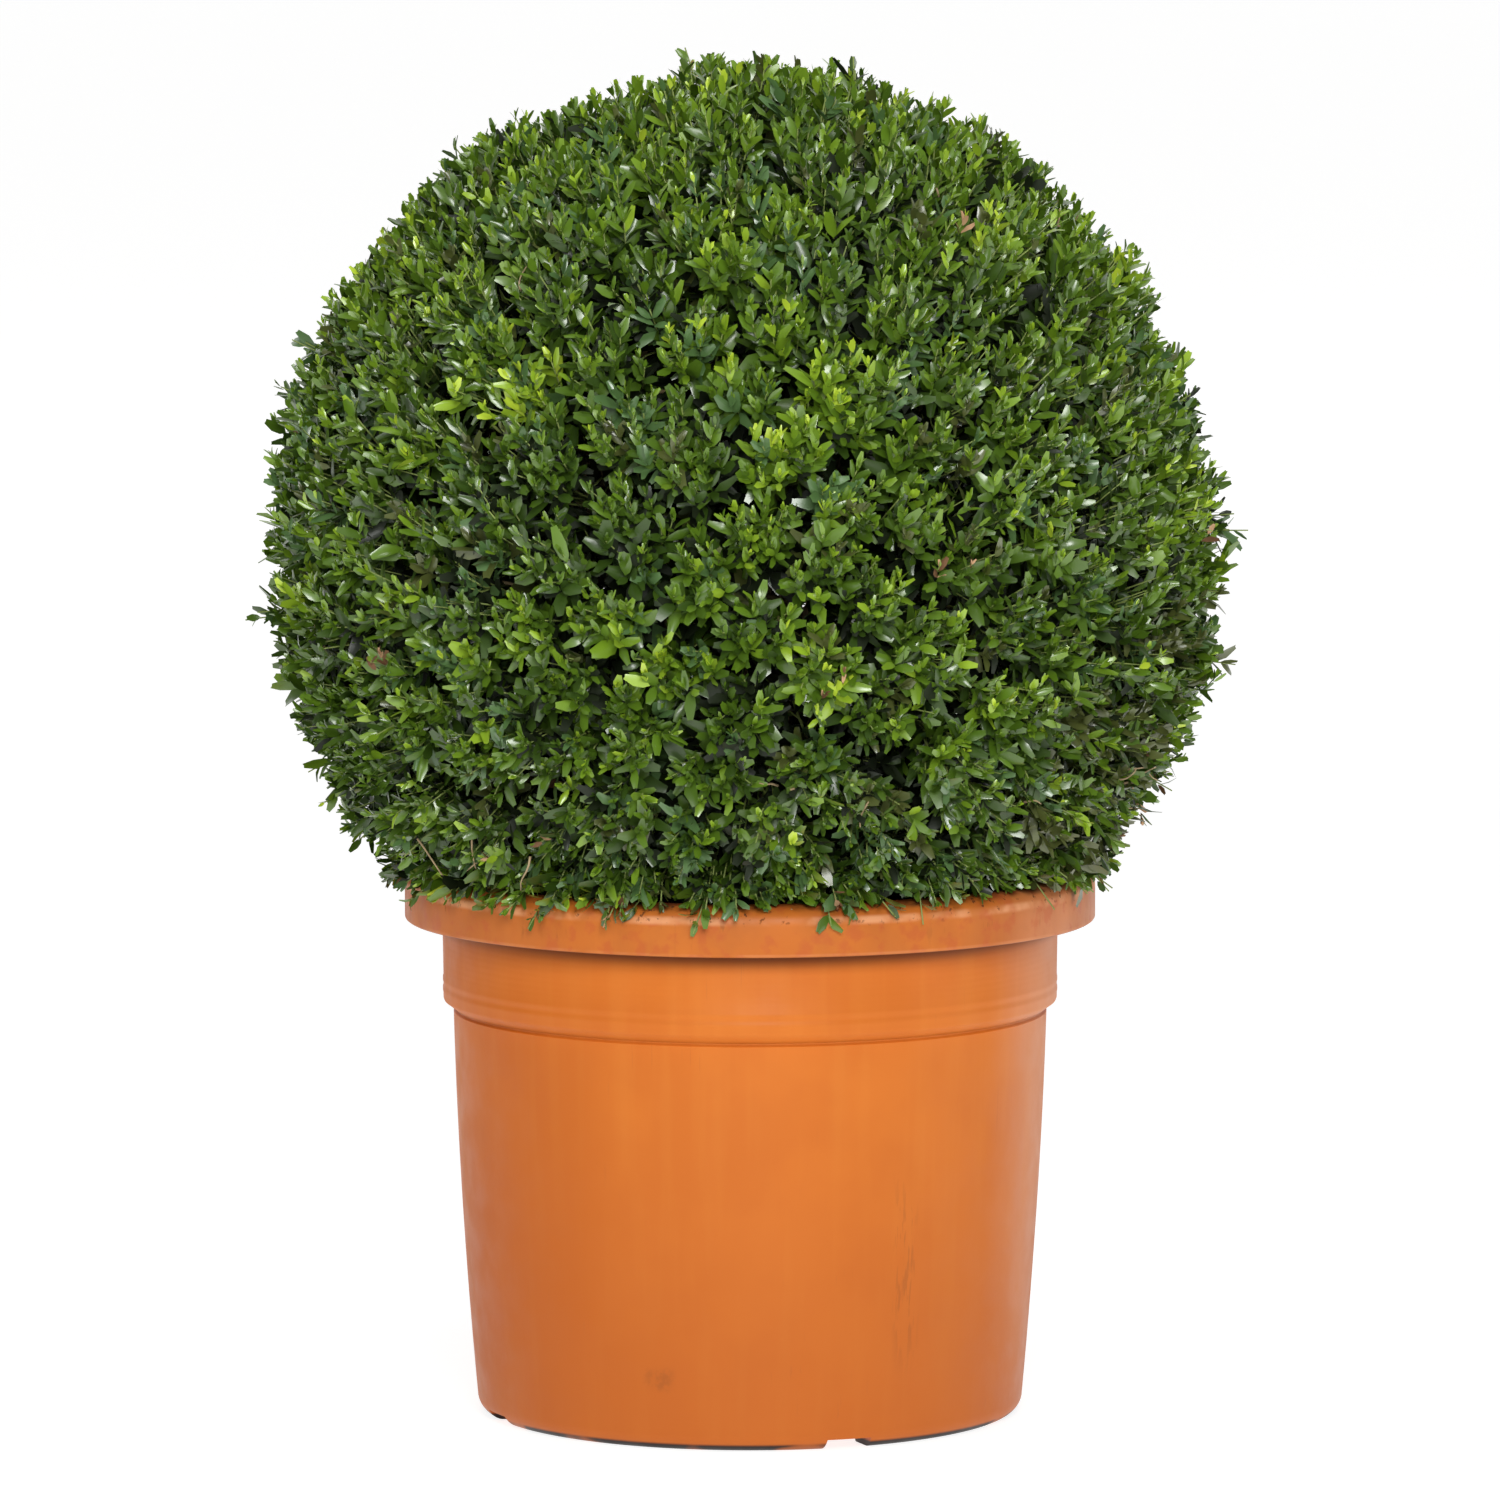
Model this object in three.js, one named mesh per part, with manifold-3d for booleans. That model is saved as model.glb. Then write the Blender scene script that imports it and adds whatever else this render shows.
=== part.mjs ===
// A clipped box ball, 67 cm across, in the 48 cm terracotta-coloured plastic pot it was grown in.
// Millimetres, +Z up. The origin is the centre of the pot's underside, and the front faces -Y.
import * as THREE from 'three';
import { ConvexGeometry } from 'three/addons/geometries/ConvexGeometry.js';
import { mergeVertices } from 'three/addons/utils/BufferGeometryUtils.js';
import Module from 'manifold-3d';

const wasm = await Module();
wasm.setup();

// Pot: foot ring, tapered body, wider collar and a rim rolled over outwards and down.
const POT_SIDES = 48;
const WALL = 3.5;
const FOOT_INNER_R = 158;
const FOOT_DRAFT = 2;
const FOOT_R = 177;
const HEEL_R = 13;
const HEEL_STEPS = 4;
const HEEL_FILLET = 4;
const FLOOR_UNDERSIDE_Z = 6.5;
const BODY_MID_R = 200.6;
const BODY_MID_Z = 152;
const BODY_TOP_R = 206.3;
const BODY_TOP_Z = 281.5;
const GROOVE_DEPTH = 1.5;
const GROOVE_Z = 283.3;
const COLLAR_R = 213.4;
const COLLAR_Z = 290.5;
const COLLAR_TOP_R = 214.4;
const RIM_R = 240;
const RIM_LOW_Z = 346.5;
const RIM_EDGE = 3;
const RIM_CORNER = 3;
const RIM_TOP_Z = 381;
const SHOULDER_R = 12;
const SHOULDER_STEPS = 3;
const LIP_R = 8;
const LIP_STEPS = 2;
const NOTCHES = 4;
const NOTCH_FIRST_DEG = 21.2;
const NOTCH_WIDTH = 29.5;
const NOTCH_DRAFT = 1.5;
const NOTCH_RADIAL = 60;
const DRAIN_R = 8;
const DRAIN_CENTRE_R = 138;
const DRAIN_SIDES = 10;

// Compost: fills the pot to about 35 mm below the rim, a little higher round the trunk.
const COMPOST_WALL_Z = 346;
const COMPOST_MID_Z = 348;
const CLEAR = 0.3;

// Trunk: short, leaning a little, with a lobed flare where it meets the compost.
const TRUNK_FOOT_R = 25;
const TRUNK_TIP_R = 19;
const TRUNK_TIP_Z = 405;
const TRUNK_SIDES = 14;
const TRUNK_STEPS = 5;
const FLARE = 13;
const FLARE_HEIGHT = 16;
const FLARE_LOBES = 5;
const FLARE_LOBE_DEPTH = 0.22;

// Ball: a clipped sphere whose underside is drawn in over the mouth of the pot.
const BALL_X = -5;
const BALL_Z = 605.3;
const BALL_R = 336;
const CORE_R = 283;
const CORE_SIDES = 24;
const CORE_ARC_STEPS = 8;
const CORE_LUMP = 7;
const LUMP_SPAN = 21;
const SKIRT_R = 226;
const SKIRT_TOP_Z = 436;
const SKIRT_LOW_Z = 405;
const UNDERSIDE_R = 196;
const UNDERSIDE_Z = 363;
const UNDERSIDE_EDGE = 8;
const RIM_GAP = 8;
const HOLLOW_R = 60;
const HOLLOW_Z = 415;
const STUB_TOP_Z = 478;

// Twigs and leaves of the ball. A leaf stands for a few real ones, which are 15 to 25 mm long.
const SEED = 20817;
const TWIGS = 84;
const TWIG_SIDES = 3;
const TWIG_ROOT_R = 8;
const TWIG_TIP_R = 5.5;
const TWIG_SWAY = 0.16;
const GOLDEN_TURN = Math.PI * (3 - Math.sqrt(5));
const LEAF_WIDTH_SHARE = 0.66;
const LEAF_WIDE_FROM = 0.34;
const LEAF_WIDE_TO = 0.66;
const LEAF_ROOT_FOLD = 5;
const LEAF_TIP_FOLD = 7;
const LEAF_DROOP = 4;
// How far back from its twig's end a leaf that carries on the twig has its root.
const END_LEAF_SINK = 7;
const LEAF_SPREAD = 0.12;
// Depth of a pair below the ball's outline, the angle its leaves make with the twig, and their length.
const LOW_PAIR = { depth: 43, pitch: 74, length: 68 };
const TIP_PAIR = { depth: 34, pitch: 45, length: 47 };
const OUTLINE_PLAY = 4;

// Sprays that lie over the rim, and shoots that have outgrown the last clipping.
const RIM_SPRAYS = 18;
const RIM_SPRAY_Z = 410;
const RIM_SPRAY_ROOT_R = 180;
const RIM_SPRAY_R = 233;
const RIM_SPRAY_SPREAD = 0.01;
const RIM_SPRAY_SHIFT = 0.4;
const RIM_SPRAY_FALL = 6;
const RIM_LEAF_PITCH = 62;
const RIM_SIDE_LEAF = 54;
const RIM_END_LEAF = 46;
const RIM_END_DROP_DEG = 52;
// Angle round the front outline from the top, towards +X, and the distance that the tip reaches.
const STRAY_SHOOTS = [
  { deg: -6.6, reach: 347 },
  { deg: 12.7, reach: 347 },
  { deg: 88.3, reach: 350.5 },
  { deg: 103.7, reach: 352 },
  { deg: 119.9, reach: 344 },
  { deg: -65.4, reach: 343 },
  { deg: -98.6, reach: 349 },
  { deg: -117.7, reach: 341 },
  { deg: -127.8, reach: 346 },
];
const STRAY_LEAF = 34;
const STRAY_TWIG = 30;

// Space kept free round the pot's rim and above the compost.
const FOLIAGE_CLEAR = 1.5;

// Points closer than WELD are one point, and a joined face is flat to within FLATNESS.
const WELD = 0.001;
const FLATNESS = 0.02;

const POT_MATERIAL = new THREE.MeshStandardMaterial({ color: 0xdd8042, roughness: 0.42 });
const COMPOST_MATERIAL = new THREE.MeshStandardMaterial({ color: 0x3a2c22, roughness: 0.95 });
const TRUNK_MATERIAL = new THREE.MeshStandardMaterial({ color: 0x8a7a5c, roughness: 0.85 });
const FOLIAGE_MATERIAL = new THREE.MeshStandardMaterial({ color: 0x4f7023, roughness: 0.55 });

// A closed geometry as a solid. Faces that have shrunk to nothing, as at a lathe's axis, are dropped.
function solidOf(geometry) {
  const bare = geometry.index ? geometry.toNonIndexed() : geometry.clone();
  bare.deleteAttribute('normal');
  bare.deleteAttribute('uv');
  const merged = mergeVertices(bare, WELD);
  const corners = merged.index.array;
  const faces = [];
  for (let i = 0; i < corners.length; i += 3) {
    const [a, b, c] = corners.slice(i, i + 3);
    if (a !== b && b !== c && c !== a) faces.push(a, b, c);
  }
  return new wasm.Manifold(new wasm.Mesh({
    numProp: 3,
    vertProperties: merged.attributes.position.array,
    triVerts: new Uint32Array(faces),
  }));
}

function geometryOf(solid) {
  const mesh = solid.getMesh();
  const geometry = new THREE.BufferGeometry();
  geometry.setAttribute('position', new THREE.BufferAttribute(mesh.vertProperties, 3));
  geometry.setIndex(new THREE.BufferAttribute(mesh.triVerts, 1));
  const flat = geometry.toNonIndexed();
  flat.computeVertexNormals();
  return flat;
}

// The biggest closed skin of a join: loose scraps and sealed pockets are left out, and so are the
// points that cuts leave on straight edges and flat faces.
function mainBody(solid) {
  const bodies = solid.asOriginal().simplify(FLATNESS).decompose();
  return bodies.reduce((best, body) => (body.volume() > best.volume() ? body : best));
}

function namedMesh(name, geometry, material) {
  const mesh = new THREE.Mesh(geometry, material);
  mesh.name = name;
  return mesh;
}

// Points of an arc in the (r, z) plane, from one angle to another in equal steps, both ends included.
function arc(r, z, radius, fromDeg, toDeg, steps) {
  const points = [];
  for (let i = 0; i <= steps; i += 1) {
    const angle = THREE.MathUtils.degToRad(fromDeg + ((toDeg - fromDeg) * i) / steps);
    points.push([r + radius * Math.cos(angle), z + radius * Math.sin(angle)]);
  }
  return points;
}

// A profile of (r, z) pairs turned round the vertical axis.
function turned(profile, sides) {
  const points = profile.map(([r, z]) => new THREE.Vector2(r, z));
  return new THREE.LatheGeometry(points, sides).rotateX(Math.PI / 2);
}

// The pot's inner face from the floor up to the mouth, a wall's thickness inside the outer one.
const FLOOR_Z = FLOOR_UNDERSIDE_Z + WALL;
const INNER_WALL = [
  [FOOT_R + HEEL_R - WALL - HEEL_FILLET / 2, FLOOR_Z],
  [FOOT_R + HEEL_R - WALL, FLOOR_Z + HEEL_FILLET],
  [BODY_MID_R - WALL, BODY_MID_Z],
  [BODY_TOP_R - WALL, BODY_TOP_Z],
  [COLLAR_R - WALL, COLLAR_Z],
  [COLLAR_TOP_R - WALL, RIM_TOP_Z - LIP_R],
];
const MOUTH_R = INNER_WALL[INNER_WALL.length - 1][0];

function potProfile() {
  const rimInnerR = RIM_R - WALL;
  const underLipZ = RIM_TOP_Z - WALL;
  return [
    [0, FLOOR_UNDERSIDE_Z],
    [FOOT_INNER_R - FOOT_DRAFT, FLOOR_UNDERSIDE_Z],
    [FOOT_INNER_R, 0],
    ...arc(FOOT_R, HEEL_R, HEEL_R, -90, 0, HEEL_STEPS),
    [BODY_MID_R, BODY_MID_Z],
    [BODY_TOP_R, BODY_TOP_Z],
    [BODY_TOP_R - GROOVE_DEPTH, GROOVE_Z],
    [COLLAR_R, COLLAR_Z],
    [COLLAR_TOP_R, underLipZ - RIM_CORNER],
    [COLLAR_TOP_R + RIM_CORNER, underLipZ],
    [rimInnerR - SHOULDER_R + WALL, underLipZ],
    [rimInnerR, RIM_TOP_Z - SHOULDER_R],
    [rimInnerR, RIM_LOW_Z],
    [RIM_R - RIM_EDGE / 2, RIM_LOW_Z],
    [RIM_R, RIM_LOW_Z + RIM_EDGE],
    ...arc(RIM_R - SHOULDER_R, RIM_TOP_Z - SHOULDER_R, SHOULDER_R, 0, 90, SHOULDER_STEPS),
    ...arc(MOUTH_R + LIP_R, RIM_TOP_Z - LIP_R, LIP_R, 90, 180, LIP_STEPS),
    ...INNER_WALL.slice(0, -1).reverse(),
    [0, FLOOR_Z],
  ];
}

// Foot notches let water out from under the pot, and a drain hole in the floor lies in line with each.
function pot() {
  let solid = solidOf(turned(potProfile(), POT_SIDES));
  const half = NOTCH_WIDTH / 2;
  const outline = new THREE.Shape([
    new THREE.Vector2(-half, -FLOOR_UNDERSIDE_Z),
    new THREE.Vector2(half, -FLOOR_UNDERSIDE_Z),
    new THREE.Vector2(half - NOTCH_DRAFT, FLOOR_UNDERSIDE_Z),
    new THREE.Vector2(NOTCH_DRAFT - half, FLOOR_UNDERSIDE_Z),
  ]);
  const notch = new THREE.ExtrudeGeometry(outline, { depth: NOTCH_RADIAL, bevelEnabled: false });
  notch.rotateX(Math.PI / 2).translate(0, -FOOT_INNER_R + NOTCH_RADIAL / 4, 0);
  const drain = new THREE.CylinderGeometry(DRAIN_R, DRAIN_R, FLOOR_Z * 3, DRAIN_SIDES);
  drain.rotateX(Math.PI / 2).translate(0, -DRAIN_CENTRE_R, FLOOR_Z / 2);
  for (let i = 0; i < NOTCHES; i += 1) {
    const turn = THREE.MathUtils.degToRad(NOTCH_FIRST_DEG + (360 * i) / NOTCHES);
    solid = solid.subtract(solidOf(notch.clone().rotateZ(turn)));
    solid = solid.subtract(solidOf(drain.clone().rotateZ(turn)));
  }
  return namedMesh('pot', geometryOf(mainBody(solid)), POT_MATERIAL);
}

function compost() {
  const [lowR, lowZ] = INNER_WALL[INNER_WALL.length - 2];
  const share = (COMPOST_WALL_Z - lowZ) / (RIM_TOP_Z - LIP_R - lowZ);
  const topR = THREE.MathUtils.lerp(lowR, MOUTH_R, share);
  const sides = INNER_WALL.slice(1, -1).map(([r, z]) => [r - CLEAR, z]);
  const profile = [
    [0, FLOOR_Z + CLEAR],
    [INNER_WALL[0][0] - CLEAR, FLOOR_Z + CLEAR],
    ...sides,
    [topR - CLEAR, COMPOST_WALL_Z],
    [topR / 2, COMPOST_MID_Z],
    [0, COMPOST_MID_Z],
  ];
  return namedMesh('compost', turned(profile, POT_SIDES), COMPOST_MATERIAL);
}

// Height of the trunk's flat cut, and how far its axis has leaned to the ball's axis at a height.
const TRUNK_FOOT_Z = COMPOST_MID_Z + CLEAR;

function trunkLean(z) {
  return BALL_X * THREE.MathUtils.smoothstep(z, TRUNK_FOOT_Z, TRUNK_TIP_Z);
}

function trunk() {
  const height = TRUNK_TIP_Z - TRUNK_FOOT_Z;
  const geometry = new THREE.CylinderGeometry(1, 1, height, TRUNK_SIDES, TRUNK_STEPS);
  geometry.rotateX(Math.PI / 2).translate(0, 0, TRUNK_FOOT_Z + height / 2);
  const place = geometry.attributes.position;
  for (let i = 0; i < place.count; i += 1) {
    const z = place.getZ(i);
    const rise = z - TRUNK_FOOT_Z;
    const round = Math.atan2(place.getY(i), place.getX(i));
    const flare = FLARE * Math.exp(-rise / FLARE_HEIGHT);
    const lobes = 1 + FLARE_LOBE_DEPTH * Math.cos(FLARE_LOBES * round) * (flare / FLARE);
    const radius = (THREE.MathUtils.lerp(TRUNK_FOOT_R, TRUNK_TIP_R, rise / height) + flare) * lobes;
    place.setXY(i, place.getX(i) * radius + trunkLean(z), place.getY(i) * radius);
  }
  return namedMesh('trunk', geometryOf(solidOf(geometry)), TRUNK_MATERIAL);
}

// Repeatable random numbers from 0 to 1.
function seededRandom(seed) {
  let state = seed;
  return () => {
    state = (state + 0x6d2b79f5) | 0;
    let mixed = Math.imul(state ^ (state >>> 15), 1 | state);
    mixed = (mixed + Math.imul(mixed ^ (mixed >>> 7), 61 | mixed)) ^ mixed;
    return ((mixed ^ (mixed >>> 14)) >>> 0) / 2 ** 32;
  };
}

const random = seededRandom(SEED);

function spread(amount) {
  return 1 + amount * (2 * random() - 1);
}

// A leaf with its root at the origin, its tip along +X and its upper face to +Z: eight faces, with an
// oval outline, a ridge along the midrib and a tip that droops.
function leafGeometry(length) {
  const half = (length * LEAF_WIDTH_SHARE) / 2;
  const low = length * LEAF_WIDE_FROM;
  const high = length * LEAF_WIDE_TO;
  return new ConvexGeometry([
    new THREE.Vector3(0, 0, 0),
    new THREE.Vector3(low, half, -LEAF_ROOT_FOLD),
    new THREE.Vector3(low, -half, -LEAF_ROOT_FOLD),
    new THREE.Vector3(high, half, -LEAF_TIP_FOLD),
    new THREE.Vector3(high, -half, -LEAF_TIP_FOLD),
    new THREE.Vector3(length, 0, -LEAF_DROOP),
  ]);
}

// Twigs and leaves gathered for one union, each one kept only if it stays in the ball's space.
class Spray {
  constructor(taken) {
    this.taken = taken;
    this.grown = [];
  }

  add(geometry, reach) {
    const place = geometry.attributes.position;
    const point = new THREE.Vector3();
    for (let i = 0; i < place.count; i += 1) {
      point.fromBufferAttribute(place, i);
      if (Math.hypot(point.x - BALL_X, point.y, point.z - BALL_Z) > reach) return;
    }
    const solid = solidOf(geometry);
    if (solid.intersect(this.taken).isEmpty()) this.grown.push(solid);
  }

  twig(from, to, reach) {
    const long = from.distanceTo(to);
    const way = to.clone().sub(from).normalize();
    const turn = new THREE.Quaternion().setFromUnitVectors(new THREE.Vector3(0, 1, 0), way);
    const middle = from.clone().lerp(to, 0.5);
    const geometry = new THREE.CylinderGeometry(TWIG_TIP_R, TWIG_ROOT_R, long, TWIG_SIDES);
    geometry.applyQuaternion(turn).translate(middle.x, middle.y, middle.z);
    this.add(geometry, reach);
  }

  // One leaf on a twig, its root sunk to the twig's middle and its upper face towards the twig's tip.
  leaf(root, twigWay, side, pitchDeg, length, reach) {
    const pitch = THREE.MathUtils.degToRad(pitchDeg);
    const way = twigWay.clone().multiplyScalar(Math.cos(pitch)).addScaledVector(side, Math.sin(pitch));
    const face = twigWay.clone().multiplyScalar(Math.sin(pitch)).addScaledVector(side, -Math.cos(pitch));
    const across = face.clone().cross(way);
    const frame = new THREE.Matrix4().makeBasis(way, across, face).setPosition(root);
    this.add(leafGeometry(length).applyMatrix4(frame), reach);
  }
}

// A unit vector square to a twig, at an angle round it, counted from the level.
function sideOf(way, angle) {
  const first = new THREE.Vector3(-way.y, way.x, 0).normalize();
  const second = way.clone().cross(first);
  return first.multiplyScalar(Math.cos(angle)).addScaledVector(second, Math.sin(angle));
}

// A point of the mass's own stem, from which a twig that points this way grows.
function stemPoint(way) {
  const z = THREE.MathUtils.lerp(STUB_TOP_Z, BALL_Z + CORE_R / 2, (1 + way.z) / 2);
  return new THREE.Vector3(BALL_X, 0, z);
}

function placeAt(way, radius) {
  return new THREE.Vector3(BALL_X, 0, BALL_Z).addScaledVector(way, radius);
}

function growTwig(spray, way) {
  const reach = BALL_R + OUTLINE_PLAY;
  spray.twig(stemPoint(way), placeAt(way, BALL_R - TIP_PAIR.depth + TWIG_TIP_R / 2), reach);
  let round = random() * Math.PI;
  for (const { depth, pitch, length } of [LOW_PAIR, TIP_PAIR]) {
    for (const side of [sideOf(way, round), sideOf(way, round + Math.PI)]) {
      const root = placeAt(way, BALL_R - depth);
      spray.leaf(root, way, side, pitch * spread(LEAF_SPREAD), length * spread(LEAF_SPREAD), reach);
    }
    round += Math.PI / 2;
  }
}

// Twigs lead from the stem to points spread evenly over the ball by the golden angle.
function growBall(spray) {
  for (let i = 0; i < TWIGS; i += 1) {
    const height = 1 - (2 * i + 1) / TWIGS;
    const ring = Math.sqrt(1 - height * height);
    const way = new THREE.Vector3(
      ring * Math.cos(i * GOLDEN_TURN) + TWIG_SWAY * (random() - 0.5),
      ring * Math.sin(i * GOLDEN_TURN) + TWIG_SWAY * (random() - 0.5),
      height + TWIG_SWAY * (random() - 0.5),
    ).normalize();
    growTwig(spray, way);
  }
}

function growStrayShoots(spray) {
  for (const { deg, reach } of STRAY_SHOOTS) {
    const angle = THREE.MathUtils.degToRad(deg);
    const way = new THREE.Vector3(Math.sin(angle), 0, Math.cos(angle));
    const root = reach - STRAY_LEAF;
    const side = sideOf(way, random() * Math.PI);
    growTwig(spray, way);
    spray.twig(placeAt(way, root - STRAY_TWIG), placeAt(way, root + END_LEAF_SINK), reach);
    spray.leaf(placeAt(way, root), way, side, 0, STRAY_LEAF, reach + OUTLINE_PLAY);
  }
}

function growRimSprays(spray) {
  const drop = THREE.MathUtils.degToRad(RIM_END_DROP_DEG);
  for (let i = 0; i < RIM_SPRAYS; i += 1) {
    const round = ((i + RIM_SPRAY_SHIFT * random()) / RIM_SPRAYS) * 2 * Math.PI;
    const out = new THREE.Vector3(Math.cos(round), Math.sin(round), 0);
    const from = out.clone().multiplyScalar(RIM_SPRAY_ROOT_R).setZ(RIM_SPRAY_Z);
    const tipR = RIM_SPRAY_R * spread(RIM_SPRAY_SPREAD);
    const to = out.clone().multiplyScalar(tipR).setZ(RIM_SPRAY_Z - RIM_SPRAY_FALL);
    const way = to.clone().sub(from).normalize();
    spray.twig(from, to, BALL_R);
    const root = to.clone().addScaledVector(way, -END_LEAF_SINK);
    for (const side of [sideOf(way, 0), sideOf(way, Math.PI)]) {
      spray.leaf(root, way, side, RIM_LEAF_PITCH * spread(LEAF_SPREAD), RIM_SIDE_LEAF, BALL_R);
    }
    const length = RIM_END_LEAF * spread(LEAF_SPREAD);
    const fall = way.clone().multiplyScalar(Math.cos(drop)).setZ(-Math.sin(drop)).normalize();
    spray.leaf(root, fall, sideOf(fall, -Math.PI / 2), 0, length, BALL_R);
  }
}

function coreProfile() {
  const skirt = THREE.MathUtils.radToDeg(Math.asin((SKIRT_TOP_Z - BALL_Z) / CORE_R));
  return [
    [0, HOLLOW_Z],
    [HOLLOW_R, HOLLOW_Z],
    [UNDERSIDE_R, UNDERSIDE_Z],
    [UNDERSIDE_R + UNDERSIDE_EDGE, UNDERSIDE_Z + UNDERSIDE_EDGE],
    [UNDERSIDE_R + UNDERSIDE_EDGE, RIM_TOP_Z + RIM_GAP],
    [SKIRT_R - UNDERSIDE_EDGE, RIM_TOP_Z + RIM_GAP],
    [SKIRT_R, SKIRT_LOW_Z],
    ...arc(0, BALL_Z, CORE_R, skirt, 90, CORE_ARC_STEPS),
  ];
}

// Lumps on the core, so that it is uneven between the leaves. They fade out towards the pot's rim.
function lumpy(geometry) {
  const place = geometry.attributes.position;
  const centre = new THREE.Vector3(0, 0, BALL_Z);
  const point = new THREE.Vector3();
  for (let i = 0; i < place.count; i += 1) {
    point.fromBufferAttribute(place, i);
    const round = Math.sin(point.x / LUMP_SPAN) * Math.cos(point.y / LUMP_SPAN);
    const wave = round + Math.sin(point.z / LUMP_SPAN);
    const fade = THREE.MathUtils.smoothstep(point.z, SKIRT_LOW_Z, SKIRT_TOP_Z);
    point.sub(centre);
    point.setLength(point.length() + (CORE_LUMP * fade * wave) / 2).add(centre);
    place.setXYZ(i, point.x, point.y, point.z);
  }
  return geometry;
}

// The mass: its own stem, the dense inner growth as a core, and the leafy twigs that stand out of it.
function foliageBall() {
  const around = RIM_R + FOLIAGE_CLEAR;
  const within = MOUTH_R - FOLIAGE_CLEAR;
  const taken = solidOf(turned([
    [0, 0],
    [around, 0],
    [around, RIM_TOP_Z + FOLIAGE_CLEAR],
    [within, RIM_TOP_Z + FOLIAGE_CLEAR],
    [within, COMPOST_MID_Z + FOLIAGE_CLEAR],
    [0, COMPOST_MID_Z + FOLIAGE_CLEAR],
  ], POT_SIDES));
  const stubLow = TRUNK_TIP_Z + CLEAR;
  const stub = new THREE.CylinderGeometry(TRUNK_TIP_R, TRUNK_TIP_R, STUB_TOP_Z - stubLow, TRUNK_SIDES);
  stub.rotateX(Math.PI / 2).translate(BALL_X, 0, (STUB_TOP_Z + stubLow) / 2);
  const core = lumpy(turned(coreProfile(), CORE_SIDES)).translate(BALL_X, 0, 0);
  const spray = new Spray(taken);
  growBall(spray);
  growStrayShoots(spray);
  growRimSprays(spray);
  let solid = solidOf(core).add(solidOf(stub));
  for (const piece of spray.grown) solid = solid.add(piece);
  return namedMesh('foliage_ball', geometryOf(mainBody(solid)), FOLIAGE_MATERIAL);
}

const plant = new THREE.Group();
plant.name = 'box_ball_in_pot';
plant.add(pot(), compost(), trunk(), foliageBall());

export default plant;
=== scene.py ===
import math

import bpy
import numpy as np
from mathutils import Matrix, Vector, noise


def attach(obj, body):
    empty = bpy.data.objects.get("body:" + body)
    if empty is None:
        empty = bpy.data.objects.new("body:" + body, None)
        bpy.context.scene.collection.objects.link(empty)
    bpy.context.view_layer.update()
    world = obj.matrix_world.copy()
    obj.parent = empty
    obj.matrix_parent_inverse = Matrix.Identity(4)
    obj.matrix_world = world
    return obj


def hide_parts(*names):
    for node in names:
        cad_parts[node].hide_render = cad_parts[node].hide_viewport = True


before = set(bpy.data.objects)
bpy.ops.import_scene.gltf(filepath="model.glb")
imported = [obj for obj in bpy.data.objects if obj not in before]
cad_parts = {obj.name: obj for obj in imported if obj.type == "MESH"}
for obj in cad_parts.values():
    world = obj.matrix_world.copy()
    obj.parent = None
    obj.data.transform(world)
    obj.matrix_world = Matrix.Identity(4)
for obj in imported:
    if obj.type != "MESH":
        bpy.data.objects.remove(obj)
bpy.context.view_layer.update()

# Camera: it stands 8 m from the pot's axis, somewhat higher than the plant, and looks slightly down
# through a very long lens. The ellipses of the pot's rings gave its distance and its height.
CAMERA_DISTANCE = 8.0
EYE_HEIGHT = 1.32
AIM_HEIGHT = 0.4624
LENS_MM = 278
SENSOR_MM = 36
camera = bpy.data.objects.new("camera", bpy.data.cameras.new("camera"))
camera.data.sensor_width = SENSOR_MM
camera.data.lens = LENS_MM
camera.location = (0, -CAMERA_DISTANCE, EYE_HEIGHT)
aim = Vector((0, 0, AIM_HEIGHT)) - camera.location
camera.rotation_euler = aim.to_track_quat("-Z", "Y").to_euler()
bpy.context.scene.collection.objects.link(camera)
bpy.context.scene.camera = camera

# Pot: one injection moulding of polypropylene, as a big nursery container is. A foot ring with four
# water notches, a tapered body, a wider collar with two fine ridges, and a rim rolled outwards. Its
# sizes are in millimetres, and its heights are from the floor.
MM = 0.001
POT_SIDES = 240
WALL = 3.5
FOOT_INNER_R = 158
FOOT_INNER_DRAFT = 2
FOOT_EDGE_WIDE = 0.6
FOOT_EDGE_HIGH = 0.4
FOOT_R = 177
HEEL_R = 13
FLOOR_UNDERSIDE_Z = 6.5
FLOOR_BEVEL_WIDE = 2
FLOOR_BEVEL_HIGH = 4
BODY_TOP_R = 206.3
BODY_TOP_Z = 281.5
BODY_SWELL = 2.2
BODY_ROWS = 16
GROOVE_DEPTH = 1.5
GROOVE_Z = 283.3
GROOVE_HALF = 0.4
COLLAR_R = 213.4
COLLAR_Z = 290.5
COLLAR_EDGE = 0.5
COLLAR_TOP_R = 214.4
RIDGES_Z = (297, 304)
RIDGE_HEIGHT = 4.6
RIDGE_PROUD = 0.38
RIM_R = 240
RIM_LOW_Z = 346.5
RIM_TOP_Z = 381
RIM_EDGE_R = 1.6
RIM_HOLLOW_R = 8
RIM_ROOT_R = 3
SHOULDER_R = 12
LIP_R = 8
MOUTH_R = COLLAR_TOP_R - WALL
OUT_OF_ROUND = 0.35
OUT_OF_ROUND_FROM_R = 150
OUT_OF_ROUND_WAVES = (6, 6, 5)
NOTCHES = 4
NOTCH_FIRST_DEG = 21.2
NOTCH_WIDTH = 35
NOTCH_HEIGHT = 7.5
NOTCH_DRAFT = 1.5
NOTCH_RADII = (150, 203)
DRAIN_R = 8
DRAIN_CENTRE_R = 138
DRAIN_SIDES = 28
SHARP_EDGE_DEG = 38


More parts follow.
